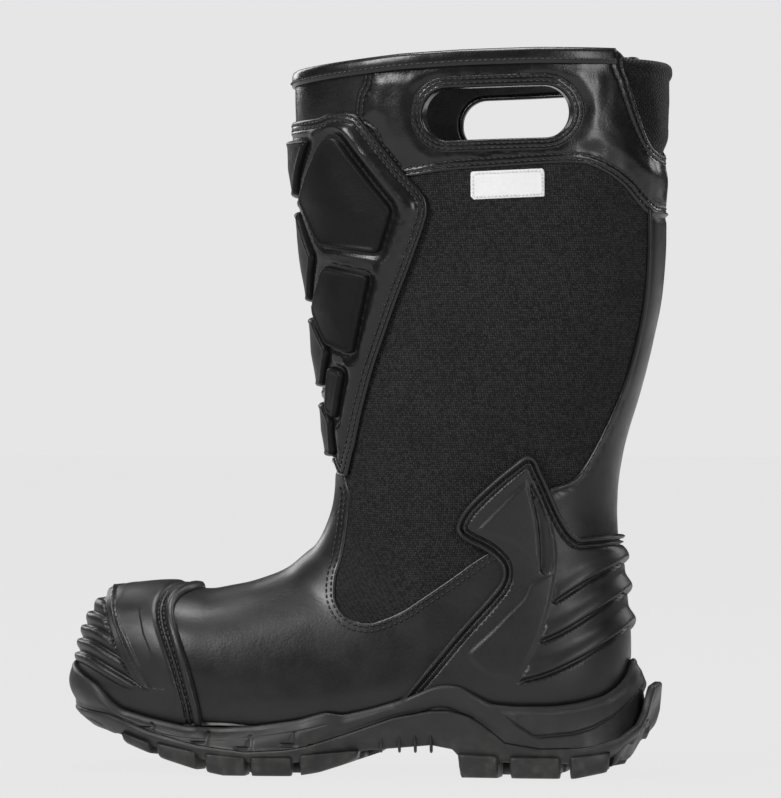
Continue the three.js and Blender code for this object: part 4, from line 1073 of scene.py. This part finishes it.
for i, points in enumerate(HEEL_RIBS):
    along = np.clip((s["wrap"] - points[0][0]) / 45, 0, 1)
    offset = s[f"rib{i}"]
    # Each rib juts out over a sharp step with a groove under it, and falls away gently above.
    swell = np.where(offset < 0.6, ramp(offset, -1.3, -0.1), 1 - ramp(offset, 0.6, 9))
    shape = swell * (1.3 + 1.9 * along) - 1.9 * bump(offset, -2.3, 1.7)
    shape *= ramp(s["wrap"], points[0][0] - 3, points[0][0] + 2)
    rib_rise = np.where(np.abs(shape) > np.abs(rib_rise), shape, rib_rise)
welt = (1.5 * bump(e, 1.3, 1.5) - 1.7 * bump(e, 3.1, 0.8) + 0.5 * bump(e, 4.2, 0.7)
        - 1.6 * bump(e, 5.3, 0.8))
surface = (OVERLAY_TOP - 0.6 + 0.7 * ramp(s["strip"], 0.0, 2.8) + 0.8 * ramp(s["face"], 0.0, 2.8)
           - 3.0 * ramp(s["blade"], 0.0, 1.0) * (1 - 0.75 * ramp(-s["face"], 0.5, 4.5))
           + rib_rise * ramp(-s["strip"], -0.2, 1.0) * ramp(e, 5.5, 8) + welt * ramp(s.q[:, 2], 30, 46))
s["height"] = edge_round(s.depth, np.maximum(surface, OVERLAY_INNER + 0.25), 1.6, 1.1)
finish(s.solid("heel_counter", OVERLAY_INNER, MOULDED), "moulded_rubber", "heel_counter")

# ---------------------------------------------------------------- moulded toe guard

def behind_line(points):
    """How far behind a line over the toe each point lies, seen from its side."""
    line = np.array(points, float)
    return TOE.toe - np.interp(TOE.high, line[:, 1], line[:, 0])


# Lines over the toe guard [along, z]: the band's front edge, its second ridge, and the inset face behind.
BAND_FRONT = [(-121, 44), (-123.3, 46), (-127.1, 49), (-132.4, 58), (-137.8, 68.6), (-141.6, 79),
              (-143.3, 88), (-143, 110)]
BAND_RIDGE = [(-118.5, 44), (-120.3, 46.8), (-127.1, 59.4), (-133.2, 72), (-136.2, 78), (-138.4, 86),
              (-138.6, 110)]
INSET_BACK = [(-108.3, 44), (-111.7, 54.3), (-116.3, 63.3), (-120.8, 73.7), (-123, 83.4), (-125, 96),
              (-125, 110)]
RIB_PROFILE = (0.02, 0.15, 0.35, 0.6, 0.76, 0.88, 0.97)
TOE_RIBS = dict(count=5, top=91.6, low=62.8, tip=-160, lean=0.32, flat=5, slope=0.46, rise=2.6)

q = TOE.q
toe_field = depth_in(TOE.side, rounded(TOE_GUARD, True, 6))
pitch = (TOE_RIBS["top"] - TOE_RIBS["low"]) / (TOE_RIBS["count"] - 1)
from_tip = TOE.toe - TOE_RIBS["tip"] - TOE_RIBS["lean"] * (TOE.high - 60) - TOE_RIBS["flat"]
fall = TOE_RIBS["slope"] * 0.5 * (from_tip + np.hypot(from_tip, 4))
phase = (TOE.high + fall - TOE_RIBS["low"]) / pitch
rib_cuts = [("phase", k + f) for k in range(-1, TOE_RIBS["count"]) for f in RIB_PROFILE]
s = Sheet(TIP, np.minimum(toe_field, -plan_depth(q)), (0.4, 1.2),
          cuts_for("toe", 2.0, half=2.0) + cuts_for("toe", 5.2, 8.0, half=0.8)
          + cuts_for("ridge", 0.0, half=1.1)
          + [("band", 0.0), ("band", 1.0), ("band", 2.0), ("inset", 0.0), ("inset", 1.2)] + rib_cuts,
          toe=toe_field, band=behind_line(BAND_FRONT), ridge=behind_line(BAND_RIDGE), phase=phase,
          inset=np.minimum.reduce([behind_line(BAND_RIDGE) - 1.5, -behind_line(INSET_BACK),
                                   q[:, 2] - 44.5 + 0.07 * (TOE.toe + 120)]))
part = s["phase"] - np.floor(s["phase"])
ribbed = ramp(part, 0.03, 0.62) ** 0.6 * (1 - ramp(part, 0.74, 0.98))
ribbed *= ramp(s["phase"], -0.98, -0.6) * ramp(TOE_RIBS["count"] - 1 - s["phase"], -0.05, 0.0)
e = s["toe"]
in_front = ramp(-s["band"], 0.0, 0.8)
low = ramp(s.q[:, 2], 42, 47)
banded = 2.0 * ramp(s["band"], 0.0, 1.6) * low * (1 - ramp(s["ridge"], -0.5, 1.0) * 0.6)
ridged = 0.7 * bump(s["ridge"], 0, 1.1) * low
sunk = 0.6 * ramp(s["inset"], 0, 1.2) * ramp(86 - s.q[:, 2], 0, 8)
welt = 1.2 * bump(e, 2.0, 2.1) - 1.5 * bump(e, 5.2, 1.0) - 1.4 * bump(e, 8.0, 1.0)
surface = (OVERLAY_TOP - 0.3 + TOE_RIBS["rise"] * ribbed * in_front * low - 0.5 * in_front * low
           + (banded + ridged) * ramp(e, 8.5, 11) - sunk + welt)
s["height"] = edge_round(s.depth, surface, 1.6, 1.2)
finish(s.solid("toe_guard", OVERLAY_INNER, MOULDED), "moulded_rubber", "toe_guard")
sew("toe_guard_stitching", s, "toe", (5.2, 8.0), "moulded_rubber", lambda r: r[:, 2] > 34, 0.2)

# ---------------------------------------------------------------- binding, handle rims and label

def top_loop(skin, view, drop):
    """Each column's point and normal at a distance below the top line."""
    below = view.below_top.reshape(skin.points.shape[:2])
    p, u = np.empty((skin.columns, 3)), np.empty((skin.columns, 3))
    for j in range(skin.columns):
        order = np.argsort(below[:, j])
        for k in range(3):
            p[j, k] = np.interp(drop, below[order, j], skin.points[order, j, k])
            u[j, k] = np.interp(drop, below[order, j], skin.normals[order, j, k])
    return p, unit(u)


def lofted(sections, joined=False):
    """Points and faces of a closed body through sections, joined end to end or capped at both ends."""
    v = np.array(sections)
    m, k = v.shape[:2]
    points, faces = v.reshape(-1, 3), grid_faces(m, k, joined)
    if joined:
        return points, faces
    s, after, last = np.arange(k), np.roll(np.arange(k), -1), (m - 1) * k
    caps = [np.stack([np.full(k, m * k), after, s], 1),
            np.stack([np.full(k, m * k + 1), last + s, last + after], 1)]
    return np.vstack([points, v[0].mean(0), v[-1].mean(0)]), np.concatenate([faces, *caps])


# The tape's section: (distance out from the lining's face, distance below the top line).
TAPE = [(7.3, 8.6), (7.75, 8.2), (7.8, 5), (7.7, 2.4), (7.1, 0.9), (5.9, 0.15), (4.0, -0.1),
        (1.5, -0.1), (-0.5, 0.2), (-1.4, 0.9), (-1.9, 2.2), (-2.0, 5), (-1.9, 8.2), (-1.5, 8.6),
        (-1.3, 8.2), (-1.3, 3.4),
        (-0.4, 1.9), (1.5, 1.4), (4.0, 1.4), (5.8, 1.9), (6.6, 3.4), (6.8, 8.2)]
BINDING_STOP = 33.6  # half the width left open at the back, over the gusset
from_back = np.roll(np.arange(FINE.columns), FINE.columns // 2)


def tape_line(out, drop):
    """Points and normals round the top of the boot, from the back, out from the lining's inner face."""
    p, n = top_loop(FINE, NEAR, drop)
    return (p + n * out)[from_back], n[from_back]


section = np.array([tape_line(out, drop)[0] for out, drop in TAPE]).transpose(1, 0, 2)
outward = tape_line(0, 5)[1]
section += outward[:, None] * 0.25 * noise(section.mean(1), 12, 81, 2)[:, None, None]
middle = section.mean(1)
covered = (middle[:, 0] < 100) | (np.abs(middle[:, 1]) > BINDING_STOP)
finish(to_object("collar_binding", *lofted(section[covered]), COLLAR_LEATHER), "collar_leather",
       "collar_binding")
seam_p, seam_n = tape_line(7.95, 6.3)
line, normal = resample(seam_p[covered][1:-1], 0.8, seam_n[covered][1:-1])
points, faces = merge(stitch_parts(line, normal))
detail(to_object("collar_binding_stitching", points, faces, THREAD), "collar_leather")

RIM_ROWS = (2.3, 4.6)
for side, label in SIDES:
    hole = G["hole"]
    this_side = np.where(side * NEAR.q[:, 1] > 0, 50, -5)
    s = Sheet(FINE, np.minimum.reduce([hole, 6.4 - hole, this_side]), (0.25, 0.7, 1.3),
              cuts_for("hole", *RIM_ROWS, half=0.8) + [("hole", 1.05), ("hole", 1.35)], hole=hole)
    surface = 7.9 + 0.2 * noise(s.q, 8, 91, 2) - 0.35 * sum(bump(s["hole"], r, 0.8) for r in RIM_ROWS)
    s["height"] = edge_round(s.depth, surface, 1.4, 1.3)
    inner = np.where(s["hole"] < 1.2, -1.7, 6.55)
    finish(s.solid("handle_rim_" + label, inner, COLLAR_LEATHER), "collar_leather", "handle_rim_" + label)
    sew(f"handle_rim_{label}_stitching", s, "hole", RIM_ROWS, "collar_leather")

LABEL = dict(x=85, z=307.8, width=38, height=14.5, slope=0.04)
dx = NEAR.side[:, 0] - LABEL["x"]
dz = NEAR.side[:, 1] - LABEL["z"] - LABEL["slope"] * dx
field = np.minimum.reduce([LABEL["width"] / 2 - np.abs(dx), LABEL["height"] / 2 - np.abs(dz),
                           np.where(NEAR.q[:, 1] < 0, 50, -50)])
s = Sheet(FINE, field, (0.3, 1.2))
s["height"] = 6.15 + 0.12 * noise(s.q, 9, 95, 2) - 0.25 * ramp(0.3 - s.depth, 0, 0.3)
finish(s.solid("label", 5.45, LABEL_CLOTH), "woven_label", "label")
sew("label_stitching", s, "depth", (1.2,), "woven_label", scale=0.6, material=LABEL_THREAD)

# ---------------------------------------------------------------- the sole's outlines (mm)

OUTSOLE_TOP = np.array([(-160, 34), (-133, 30.6), (-109, 22.5), (-80, 15.7), (-54, 12.5), (-34, 13.5),
                        (-22, 15.5), (-1.5, 22.3), (23, 31), (43, 34.8), (53, 35), (63.6, 32), (70, 28.5),
                        (78, 22.6), (83, 18.3), (102, 15.5), (122, 16), (130, 17), (144, 21.4), (153, 28),
                        (156.5, 35), (158.5, 43), (160, 47.5), (164, 49.5)], float)
MIDSOLE_FOOT = np.array([(-160, 34), (118, 15.5), (135, 17), (150, 21), (164, 25)], float)
RIM_LINE = np.array([(-165, 61), (-154, 56), (-145, 50.5), (-138, 46.3), (-134.5, 42.8), (-130.5, 37.3),
                     (-126, 33), (-112, 29.4), (-90, 25.3), (-70, 24.5), (-49, 26), (-27, 29), (-12, 33.5),
                     (-3.3, 32), (11, 35.4), (29, 40.8), (45, 47.5), (52, 48.6), (60, 47.8), (76, 38.6),
                     (88.5, 37.4), (109.5, 37.6), (125, 39.6), (137, 42.6), (146, 47.5), (151.2, 52.5),
                     (154, 57.5), (156.5, 63.5), (165, 64)], float)
TREAD_LINE = np.array([(-160, 27), (-141, 20.5), (-126, 16.5), (-109, 11), (-98, 7.5), (-80, 2.6), (-66, 0),
                       (-28, 0), (-16, 2), (-2, 6.5), (8, 12), (20, 14.5), (43, 16.5), (54, 15.5), (57, 6),
                       (60, 0), (120, 0), (136, 3), (146, 6), (151, 9), (157, 14.5), (164, 21)], float)
BASE_LINE = np.array([(-160, 25), (-152, 23), (-141, 21.5), (-126, 19), (-109, 14.5), (-98, 12), (-80, 8.3),
                      (-66, 7), (-28, 7), (-10, 9), (8, 13.5), (20, 14.5), (43, 16.5), (54, 14.5), (60, 8.5),
                      (118, 7.5), (134, 9), (146, 11.5), (154, 16.5), (164, 25)], float)
LUG_TOPS = np.array([(-150, 29), (-126, 21.5), (-108.5, 16.4), (-103.6, 16.5), (-80.5, 12.4), (-76, 11.6),
                     (-53, 10), (-29, 10), (-25, 11.2), (4, 13.4), (20, 16.5), (57, 12.5), (85, 11),
                     (118, 11.4), (140, 14), (148, 19), (156, 25), (164, 31)], float)
SIDE_LUGS = [(-125.7, -108.5), (-103.6, -80.5), (-76.2, -53.6), (-50.9, -28.9), (-25.1, 4.4),
             (57.6, 79.6), (84.6, 112.4), (117.4, 139.4)]
MIDDLE_LUGS = [(-112, -98, -20, -3), (-112, -98, 9, 27), (-90, -74, -28, -3), (-90, -74, 9, 33),
               (-66, -50, -30, -3), (-66, -50, 9, 33), (-42, -26, -28, -3), (-42, -26, 9, 30),
               (-18, -4, -24, -3), (-18, -4, 9, 24), (66, 82, -18, -3), (66, 82, 3, 16),
               (90, 106, -20, -3), (90, 106, 3, 18), (114, 128, -16, -3), (114, 128, 3, 14)]
FINS = (16.2, 25.9, 34.5, 43.1)
FIN_TOP, FIN_FOOT = 21.5, 12.6
TOE_TAPER, SIDE_TAPER, HEEL_TAPER = 6.0, 2.6, 3.0  # how far the sole's wall draws in towards the tread
LEDGE = 3.6  # how far the outsole stands out behind the heel
TOE_BULGE = 4.2  # how far the toe bumper bulges past the plan outline low down


def at_x(line, x):
    return np.interp(x, line[:, 0], line[:, 1])


def share(x, start, stop):
    """How far x has come from a start to a stop, from 0 to 1."""
    return np.clip((x - start) / np.where(np.abs(stop - start) < 1e-6, 1e-6, stop - start), 0, 1)


plan = rounded(PLAN_POINTS, True, 12, 90)
plan = np.vstack([plan, plan[:1]])
SOLE_COLUMNS = 620
plan = resample(plan, 1e-9 + run_along(plan)[-1] / SOLE_COLUMNS)[0][:-1]
plan_out = np.roll(plan, -1, 0) - np.roll(plan, 1, 0)
plan_out = unit(plan_out[:, ::-1] * (1, -1))
if (plan_out * (plan - plan.mean(0))).sum() < 0:
    plan_out = -plan_out
out3 = np.column_stack([plan_out, np.zeros(len(plan))])
HEEL_START = 20  # where the sole's side starts to run on round the heel
plan_x = plan[:, 0]
plan_s = along_side(plan, HEEL_START)
toe_end, heel_end = share(plan_x, -125, -150), share(plan_x, 128, 148)


def around(grow, height):
    """Points round the sole: the plan outline grown by an amount, at a height."""
    grow, height = np.broadcast_to(grow, plan_x.shape), np.broadcast_to(height, plan_x.shape)
    return np.column_stack([plan + plan_out * grow[:, None], height])


# The upper's outside, found by looking inwards from round the sole.
height = 6.5 + 2.7 * ramp(np.maximum(F["toe"], F["counter"]), -0.8, 0.6)
upper = COARSE.points.reshape(-1, 3) + COARSE.normals.reshape(-1, 3) * height[:, None]
shape = BVHTree.FromPolygons(upper.tolist(), COARSE.faces().tolist())


def upper_at(height):
    """Where the upper's outside is, looking in from each point of the plan outline at a height."""
    found = np.full((len(plan), 3), np.nan)
    for i, (p, o, h) in enumerate(zip(plan, plan_out, np.broadcast_to(height, plan_x.shape))):
        hit = shape.ray_cast(Vector((*(p + o * 60), h)), Vector((-o[0], -o[1], 0)), 140)[0]
        if hit is not None:
            found[i] = hit
    return found


def smooth_round(values, times):
    for _ in range(times):
        values = 0.25 * np.roll(values, 1, 0) + 0.5 * values + 0.25 * np.roll(values, -1, 0)
    return values


rim_z = smooth_round(at_x(RIM_LINE, plan_s - 7 * share(plan_x, 125, 150)), 3)
rim_at = smooth_round(upper_at(rim_z), 2)
bottom_z = at_x(OUTSOLE_TOP, plan_s)

# ---------------------------------------------------------------- midsole

WALL_ROWS = 48
toe_out = TOE_BULGE * share(plan_x, -126, -150)
inset = 1.2 + 2.6 * share(plan_x, 124, 146) - 1.2 * share(plan_x, -120, -145) - toe_out
low_z = np.where(plan_s > 118, np.minimum(at_x(MIDSOLE_FOOT, plan_s), bottom_z), bottom_z)
foot_of_wall = around(-inset, low_z + 0.25)
under_upper = []
for f in (1.0, 0.66, 0.33, 0.0):
    h = low_z + 1 + (rim_z - 2.5 - low_z - 1) * f
    p = upper_at(h)
    missed = np.isnan(p[:, 0]) | (np.linalg.norm(p[:, :2] - rim_at[:, :2], axis=1) > 16)
    p[missed] = (rim_at - out3 * (3 + 9 * (1 - f)))[missed]
    p[:, 2] = h
    under_upper.append(smooth_round(p - out3 * 2.2, 2))
# The rim's rounded lip: (distance out from the upper, drop below the rim line).
LIP = [(-1.6, 1.6), (0.3, 0.5), (0.9, 0.1), (1.6, 0.0), (2.3, 0.35), (2.9, 1.2), (3.1, 2.4)]
rings = [rim_at + out3 * out_by - np.array([0, 0, drop]) for out_by, drop in LIP]
lip = rings[-1]
SOLE_LINES = [
    # A groove below the rim along the forefoot and the swoosh of the arch.
    ([(-120, 26.5), (-105, 22), (-88, 19.2), (-70, 18.6), (-49, 20.2), (-27, 23.4), (-12, 27)], 0.7, 0.35),
    ([(66.4, 30.9), (50, 36.5), (38, 33.5), (16.8, 23.5), (-4, 18), (-21, 16.1)], 0.9, 0.7)]
# The heel's upper band stands proud of the wall below this line.
HEEL_BAND = np.array([(82.2, 33.7), (90, 28.6), (99.2, 22.8), (118.9, 24.6), (129.7, 27.6), (140.4, 33.2),
                      (151.1, 42.2), (158.3, 50.4), (166, 53)], float)
# L-shaped notches in the wall over the forefoot's lugs [along, z].
SOLE_NOTCHES = [(-109.5, 23.5), (-78.9, 16.6), (-55.2, 14), (-31.6, 16.1)]
lines = [(rounded(points, False, 6, 170), half, depth) for points, half, depth in SOLE_LINES]
for k in range(1, WALL_ROWS + 1):
    f = k / WALL_ROWS
    p = lip * (1 - f) + foot_of_wall * f
    belly = 0.9 + 1.6 * toe_end
    p = p + out3 * (belly * math.sin(min(1, 1.15 * f) * math.pi))[:, None]
    s, z = along_side(p, HEEL_START), p[:, 2]
    above = z - at_x(HEEL_BAND, s)
    band = 2.4 * share(above, -0.7, 0.4) * (1 - 0.6 * share(above, 1, 12)) - 0.7 * bump(above, -1.2, 0.9)
    band *= share(s, 80, 90)
    p = p + out3 * (band * share(f, 0.0, 0.1))[:, None]
    carve = np.zeros(len(p))
    for line, half, depth in lines:
        beside = distance_to(np.column_stack([s, z]), line)
        carve = np.maximum(carve, depth * (1 - ramp(beside, half * 0.3, half)))
    for nx, nz in SOLE_NOTCHES:
        flat = np.minimum(4.2 - np.abs(s - nx), 1.2 - np.abs(z - nz))
        upright = np.minimum(1.0 - np.abs(s - nx - 3.4), 4.2 - np.abs(z - nz - 3.0))
        carve = np.maximum(carve, 1.5 * ramp(np.maximum(flat, upright), -0.4, 0.5))
    rings.append(p - out3 * carve[:, None])
inner_low = under_upper[-1] - out3 * 2.0
inner_low[:, 2] = low_z + 0.25
rings += [inner_low] + under_upper[::-1]
midsole = lofted(np.array(rings).transpose(1, 0, 2), True)
finish(to_object("midsole", *midsole, SOLE_RUBBER), "sole_rubber", "midsole")

# ---------------------------------------------------------------- outsole

taper = SIDE_TAPER + (TOE_TAPER - SIDE_TAPER) * toe_end + HEEL_TAPER * share(plan_x, 130, 150)
ledge = LEDGE * heel_end
gap = 16.0 * share(plan_s, 142, 158)
base_z = np.minimum(at_x(BASE_LINE, plan_s), bottom_z - 3)
OUTSOLE_ROWS = 7
# The top edge, from inside the midsole out over the ledge's lip: (distance out, height).
TOP_EDGE = [(-5.8, bottom_z - gap), (-4.6, bottom_z - gap * 0.6), (-3.9, bottom_z - 0.7), (-3.0, bottom_z),
            (-0.7, bottom_z - 0.05), (0.1, bottom_z - 0.8), (0.2, bottom_z - 2.0)]
rings = [around(-14, np.minimum(bottom_z - gap, base_z + 8))]
rings += [around(ledge + toe_out + out_by, height) for out_by, height in TOP_EDGE]
for k in range(1, OUTSOLE_ROWS + 1):
    f = k / OUTSOLE_ROWS
    height = bottom_z - 2.0 + (base_z + 0.8 - bottom_z + 2.0) * f
    rings.append(around(ledge * (1 - f ** 2) + toe_out + 0.2 - (taper + 1.4) * f ** 1.3, height))
rings.append(around(toe_out - taper - 2.2, base_z))
spine = np.column_stack([np.clip(plan_x, -128, 128), 3 * share(plan_x, 60, -20)])


def towards_spine(ring_points, f, lift=0.0):
    """A ring drawn in towards the sole's middle line, at the height of the tread's base."""
    xy = ring_points[:, :2] * (1 - f) + spine * f
    return np.column_stack([xy, at_x(BASE_LINE, xy[:, 0]) + lift])


bottom = [towards_spine(rings[-1], f) for f in (0.2, 0.45, 0.7, 0.9, 0.985)]
top = [towards_spine(rings[0], f, 4 + 3 * (1 - f)) for f in (0.985, 0.7, 0.35)]
outsole = lofted(np.array(top + rings + bottom).transpose(1, 0, 2), True)
finish(to_object("outsole", *outsole, SOLE_RUBBER), "sole_rubber", "outsole")

# ---------------------------------------------------------------- lugs

def rounded_square(corner, per=5):
    """Points round a unit square with rounded corners, (a, b) from 0 to 1."""
    points = []
    for cx, cy, start in ((1 - corner, 1 - corner, 0), (corner, 1 - corner, 90), (corner, corner, 180),
                          (1 - corner, corner, 270)):
        for k in range(per + 1):
            angle = math.radians(start + 90 * k / per)
            points.append((cx + corner * math.cos(angle), cy + corner * math.sin(angle)))
    return resample(np.array(points + points[:1]), 3.4 / 44)[0][:-1]


# Each lug's section: A from its start to its stop along the sole, B from its outside inwards.
A, B = rounded_square(0.12).T
loop, loop_out = np.vstack([plan, plan[:1]]), np.vstack([plan_out, plan_out[:1]])
arc = run_along(loop)
MIDDLE_LINE = np.array([(-157, 8), (-60, 0), (0, -4), (153, 0)])
lugs = []


def on_plan(a):
    """Points of the plan outline at arc lengths along it, and the ways out there."""
    return [np.stack([np.interp(a, arc, line[:, k]) for k in (0, 1)], 1) for line in (loop, loop_out)]


def plan_arc(side, along):
    """Arc length along the plan where one side of the sole reaches a distance along the boot."""
    on_side = np.flatnonzero(side * (plan[:, 1] - at_x(MIDDLE_LINE, plan_x)) > 0)
    return arc[on_side[np.argmin(np.abs(plan_s[on_side] - along))]]


def both_arcs(along):
    return sorted(plan_arc(side, along) for side in (-1, 1))


def add_lug(sections):
    points, faces = lofted(sections)
    lugs.append((points, faces[:, ::-1]))


def towards(top, low, level):
    return top + (low - top) * level


# How each kind of lug swells and tapers down to the tread: (share down, distance out).
SIDE_LEVELS = [(0.0, -1.0), (0.02, 0.5), (0.10, 1.2), (0.80, 0.9), (0.93, 0.5), (1.0, -0.5)]
END_LEVELS = [(0.0, -1.2), (0.05, 0.4), (0.14, 1.1), (0.5, 1.2), (0.8, 0.6), (0.93, -0.3), (1.0, -1.6)]
SIDE_DEPTH, HEEL_DEPTH, TOE_DEPTH, FIN_DEPTH = 19.0, 14, 16, 6  # how far a lug reaches inwards


def side_lug(start, stop):
    """A block lug under the side of the sole."""
    sections = []
    for level, grow in SIDE_LEVELS:
        shrink = 0.35 * max(0.0, level - 0.85) / 0.15
        width = 1 - 0.04 * level - 0.05 * shrink
        p, o = on_plan(start + (stop - start) * (0.5 + (A - 0.5) * width))
        along = along_side(p, HEEL_START)
        taper = SIDE_TAPER + (TOE_TAPER - SIDE_TAPER) * share(along, -125, -150)
        lean = taper * (0.35 + 0.75 * level)
        out_by = (grow - lean) * (1 - B) - SIDE_DEPTH * B + 0.8 * shrink * (2 * B - 1)
        xy = p + o * out_by[:, None]
        height = towards(at_x(LUG_TOPS, along), at_x(TREAD_LINE, along), level)
        if level == 1.0:
            height = at_x(TREAD_LINE, along_side(xy, HEEL_START))
        sections.append(np.column_stack([xy, height]))
    add_lug(sections)


def end_lug(start, stop, depth):
    """A lug that climbs the sole's wall round the toe or the heel."""
    sections = []
    for level, grow in END_LEVELS:
        p, o = on_plan((start + (stop - start) * A) % arc[-1])
        along = along_side(p, HEEL_START)
        toe, heel = share(p[:, 0], -125, -150), share(p[:, 0], 128, 148)
        height = towards(at_x(LUG_TOPS, along), at_x(TREAD_LINE, along), level)
        f = share(height, at_x(OUTSOLE_TOP, along), at_x(BASE_LINE, along))
        taper = SIDE_TAPER + (TOE_TAPER - SIDE_TAPER) * toe + HEEL_TAPER * heel
        wall = LEDGE * heel * (1 - f ** 2) - (taper + 1.4) * f ** 1.3
        wall += TOE_BULGE * toe - 4 * toe * level ** 2 - 2.0 * heel * level ** 2
        xy = p + o * ((wall + grow) * (1 - B) - depth * B)[:, None]
        sections.append(np.column_stack([xy, height]))
    add_lug(sections)


def middle_lug(x0, x1, y0, y1):
    """A block lug inside the ring of side lugs, with its lower edge rounded."""
    sections = []
    for level, shrink in ((0.0, 0.0), (0.8, 0.3), (0.95, 0.7), (1.0, 1.4)):
        x = x0 + shrink + (x1 - x0 - 2 * shrink) * A
        y = y0 + shrink + (y1 - y0 - 2 * shrink) * B
        height = towards(at_x(BASE_LINE, x) + 1, at_x(TREAD_LINE, x), level)
        sections.append(np.column_stack([x, y, height]))
    add_lug(sections)


def fin(middle):
    """A thin upright rib on the wall of the arch."""
    sections = []
    for level, grow, wide in ((0.0, -1.2, 0.2), (0.3, 0.1, 0.4), (0.7, 0.7, 0.6), (0.9, 0.6, 0.6),
                              (1.0, 0.1, 0.3)):
        p, o = on_plan(middle + (A - 0.5) * 2 * wide)
        out_by = (grow - SIDE_TAPER * (0.2 + 0.9 * level)) * (1 - B) - FIN_DEPTH * B
        height = np.full(len(A), towards(FIN_TOP, FIN_FOOT, level))
        sections.append(np.column_stack([p + o * out_by[:, None], height]))
    add_lug(sections)


for side in (-1, 1):
    for start, stop in SIDE_LUGS:
        side_lug(plan_arc(side, start), plan_arc(side, stop))
for corners in MIDDLE_LUGS:
    middle_lug(*corners)
heel_start, heel_stop = both_arcs(144.5)
heel_middle = (heel_start + heel_stop) / 2
end_lug(heel_start, heel_middle - 2.5, HEEL_DEPTH)
end_lug(heel_middle + 2.5, heel_stop, HEEL_DEPTH)
toe_start, toe_stop = both_arcs(-136.5)
end_lug(toe_stop, toe_start + arc[-1], TOE_DEPTH)
for side in (-1, 1):
    for along in FINS:
        fin(plan_arc(side, along))
points, faces = merge(lugs)
detail(to_object("outsole_lugs", points, faces, SOLE_RUBBER), "sole_rubber")

# ---------------------------------------------------------------- pieces kept as they are in the frame

CARRIED = {"insole_board": BOARD, "puncture_plate": STEEL, "shank": STEEL, "footbed": FOAM,
           "shin_foam": FOAM}
for name, material in CARRIED.items():
    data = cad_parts[name].data
    data.materials.clear()
    data.materials.append(material)

# ---------------------------------------------------------------- stage, lights and camera

scene = bpy.context.scene


def light(name, location, target, size, power):
    data = bpy.data.lights.new(name, "AREA")
    data.shape = "RECTANGLE"
    data.size, data.size_y = size
    data.energy = power
    obj = bpy.data.objects.new(name, data)
    obj.location = location
    obj.rotation_mode = "QUATERNION"
    obj.rotation_quaternion = (Vector(target) - Vector(location)).to_track_quat("-Z", "Y")
    scene.collection.objects.link(obj)


# Metres and watts.
light("key", (-1.5, -1.7, 1.7), (0, 0, 0.2), (0.8, 1.2), 56)
light("side", (1.7, -1.9, 0.9), (0, 0, 0.2), (0.6, 1.6), 23)
light("top", (-0.1, 0.1, 2.2), (0, 0, 0.1), (1.0, 1.0), 38)
light("back_left", (-1.6, 1.6, 1.2), (0, 0, 0.2), (0.9, 1.4), 16)
light("back_right", (1.6, 1.7, 1.4), (0, 0, 0.2), (0.9, 1.4), 14)

WHITE = (0.79, 0.79, 0.79, 1)  # the sweep behind and under the boot
world = bpy.data.worlds.new("studio")
world.use_nodes = True
nodes, links = world.node_tree.nodes, world.node_tree.links
glow = nodes["Background"]
backdrop = nodes.new("ShaderNodeBackground")
blend = nodes.new("ShaderNodeMixShader")
glow.inputs["Color"].default_value = (0.04, 0.04, 0.04, 1)
backdrop.inputs["Color"].default_value = WHITE
links.new(nodes.new("ShaderNodeLightPath").outputs["Is Camera Ray"], blend.inputs[0])
links.new(glow.outputs[0], blend.inputs[1])
links.new(backdrop.outputs[0], blend.inputs[2])
links.new(blend.outputs[0], nodes["World Output"].inputs["Surface"])
scene.world = world
scene.view_settings.view_transform = "Standard"

FLOOR = 14000.0  # half its width
corners = [(FLOOR * x, FLOOR * y, 0) for x, y in ((-1, -1), (1, -1), (1, 1), (-1, 1))]
floor = to_object("floor", corners, [(0, 1, 2, 3)], smooth=False)
t = Tree("floor")
floor.data.materials.append(t.end(t.colour(t.noise(900.0), grey(0.012), grey(0.014)), 0.9,
                                  Specular_IOR_Level=0.0, Emission_Color=WHITE, Emission_Strength=0.985))
floor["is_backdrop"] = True

camera_data = bpy.data.cameras.new("camera")
camera = bpy.data.objects.new("camera", camera_data)
scene.collection.objects.link(camera)
turn = math.radians(12)
reach = 2600 * MM
camera.location = (0.01192 + reach * math.sin(turn), -reach * math.cos(turn), 0.1968)
camera.rotation_euler = (math.pi / 2, 0, turn)
camera_data.sensor_width = 36
camera_data.lens = 221.3
camera_data.clip_start, camera_data.clip_end = 0.1, 60
scene.camera = camera

low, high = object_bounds()
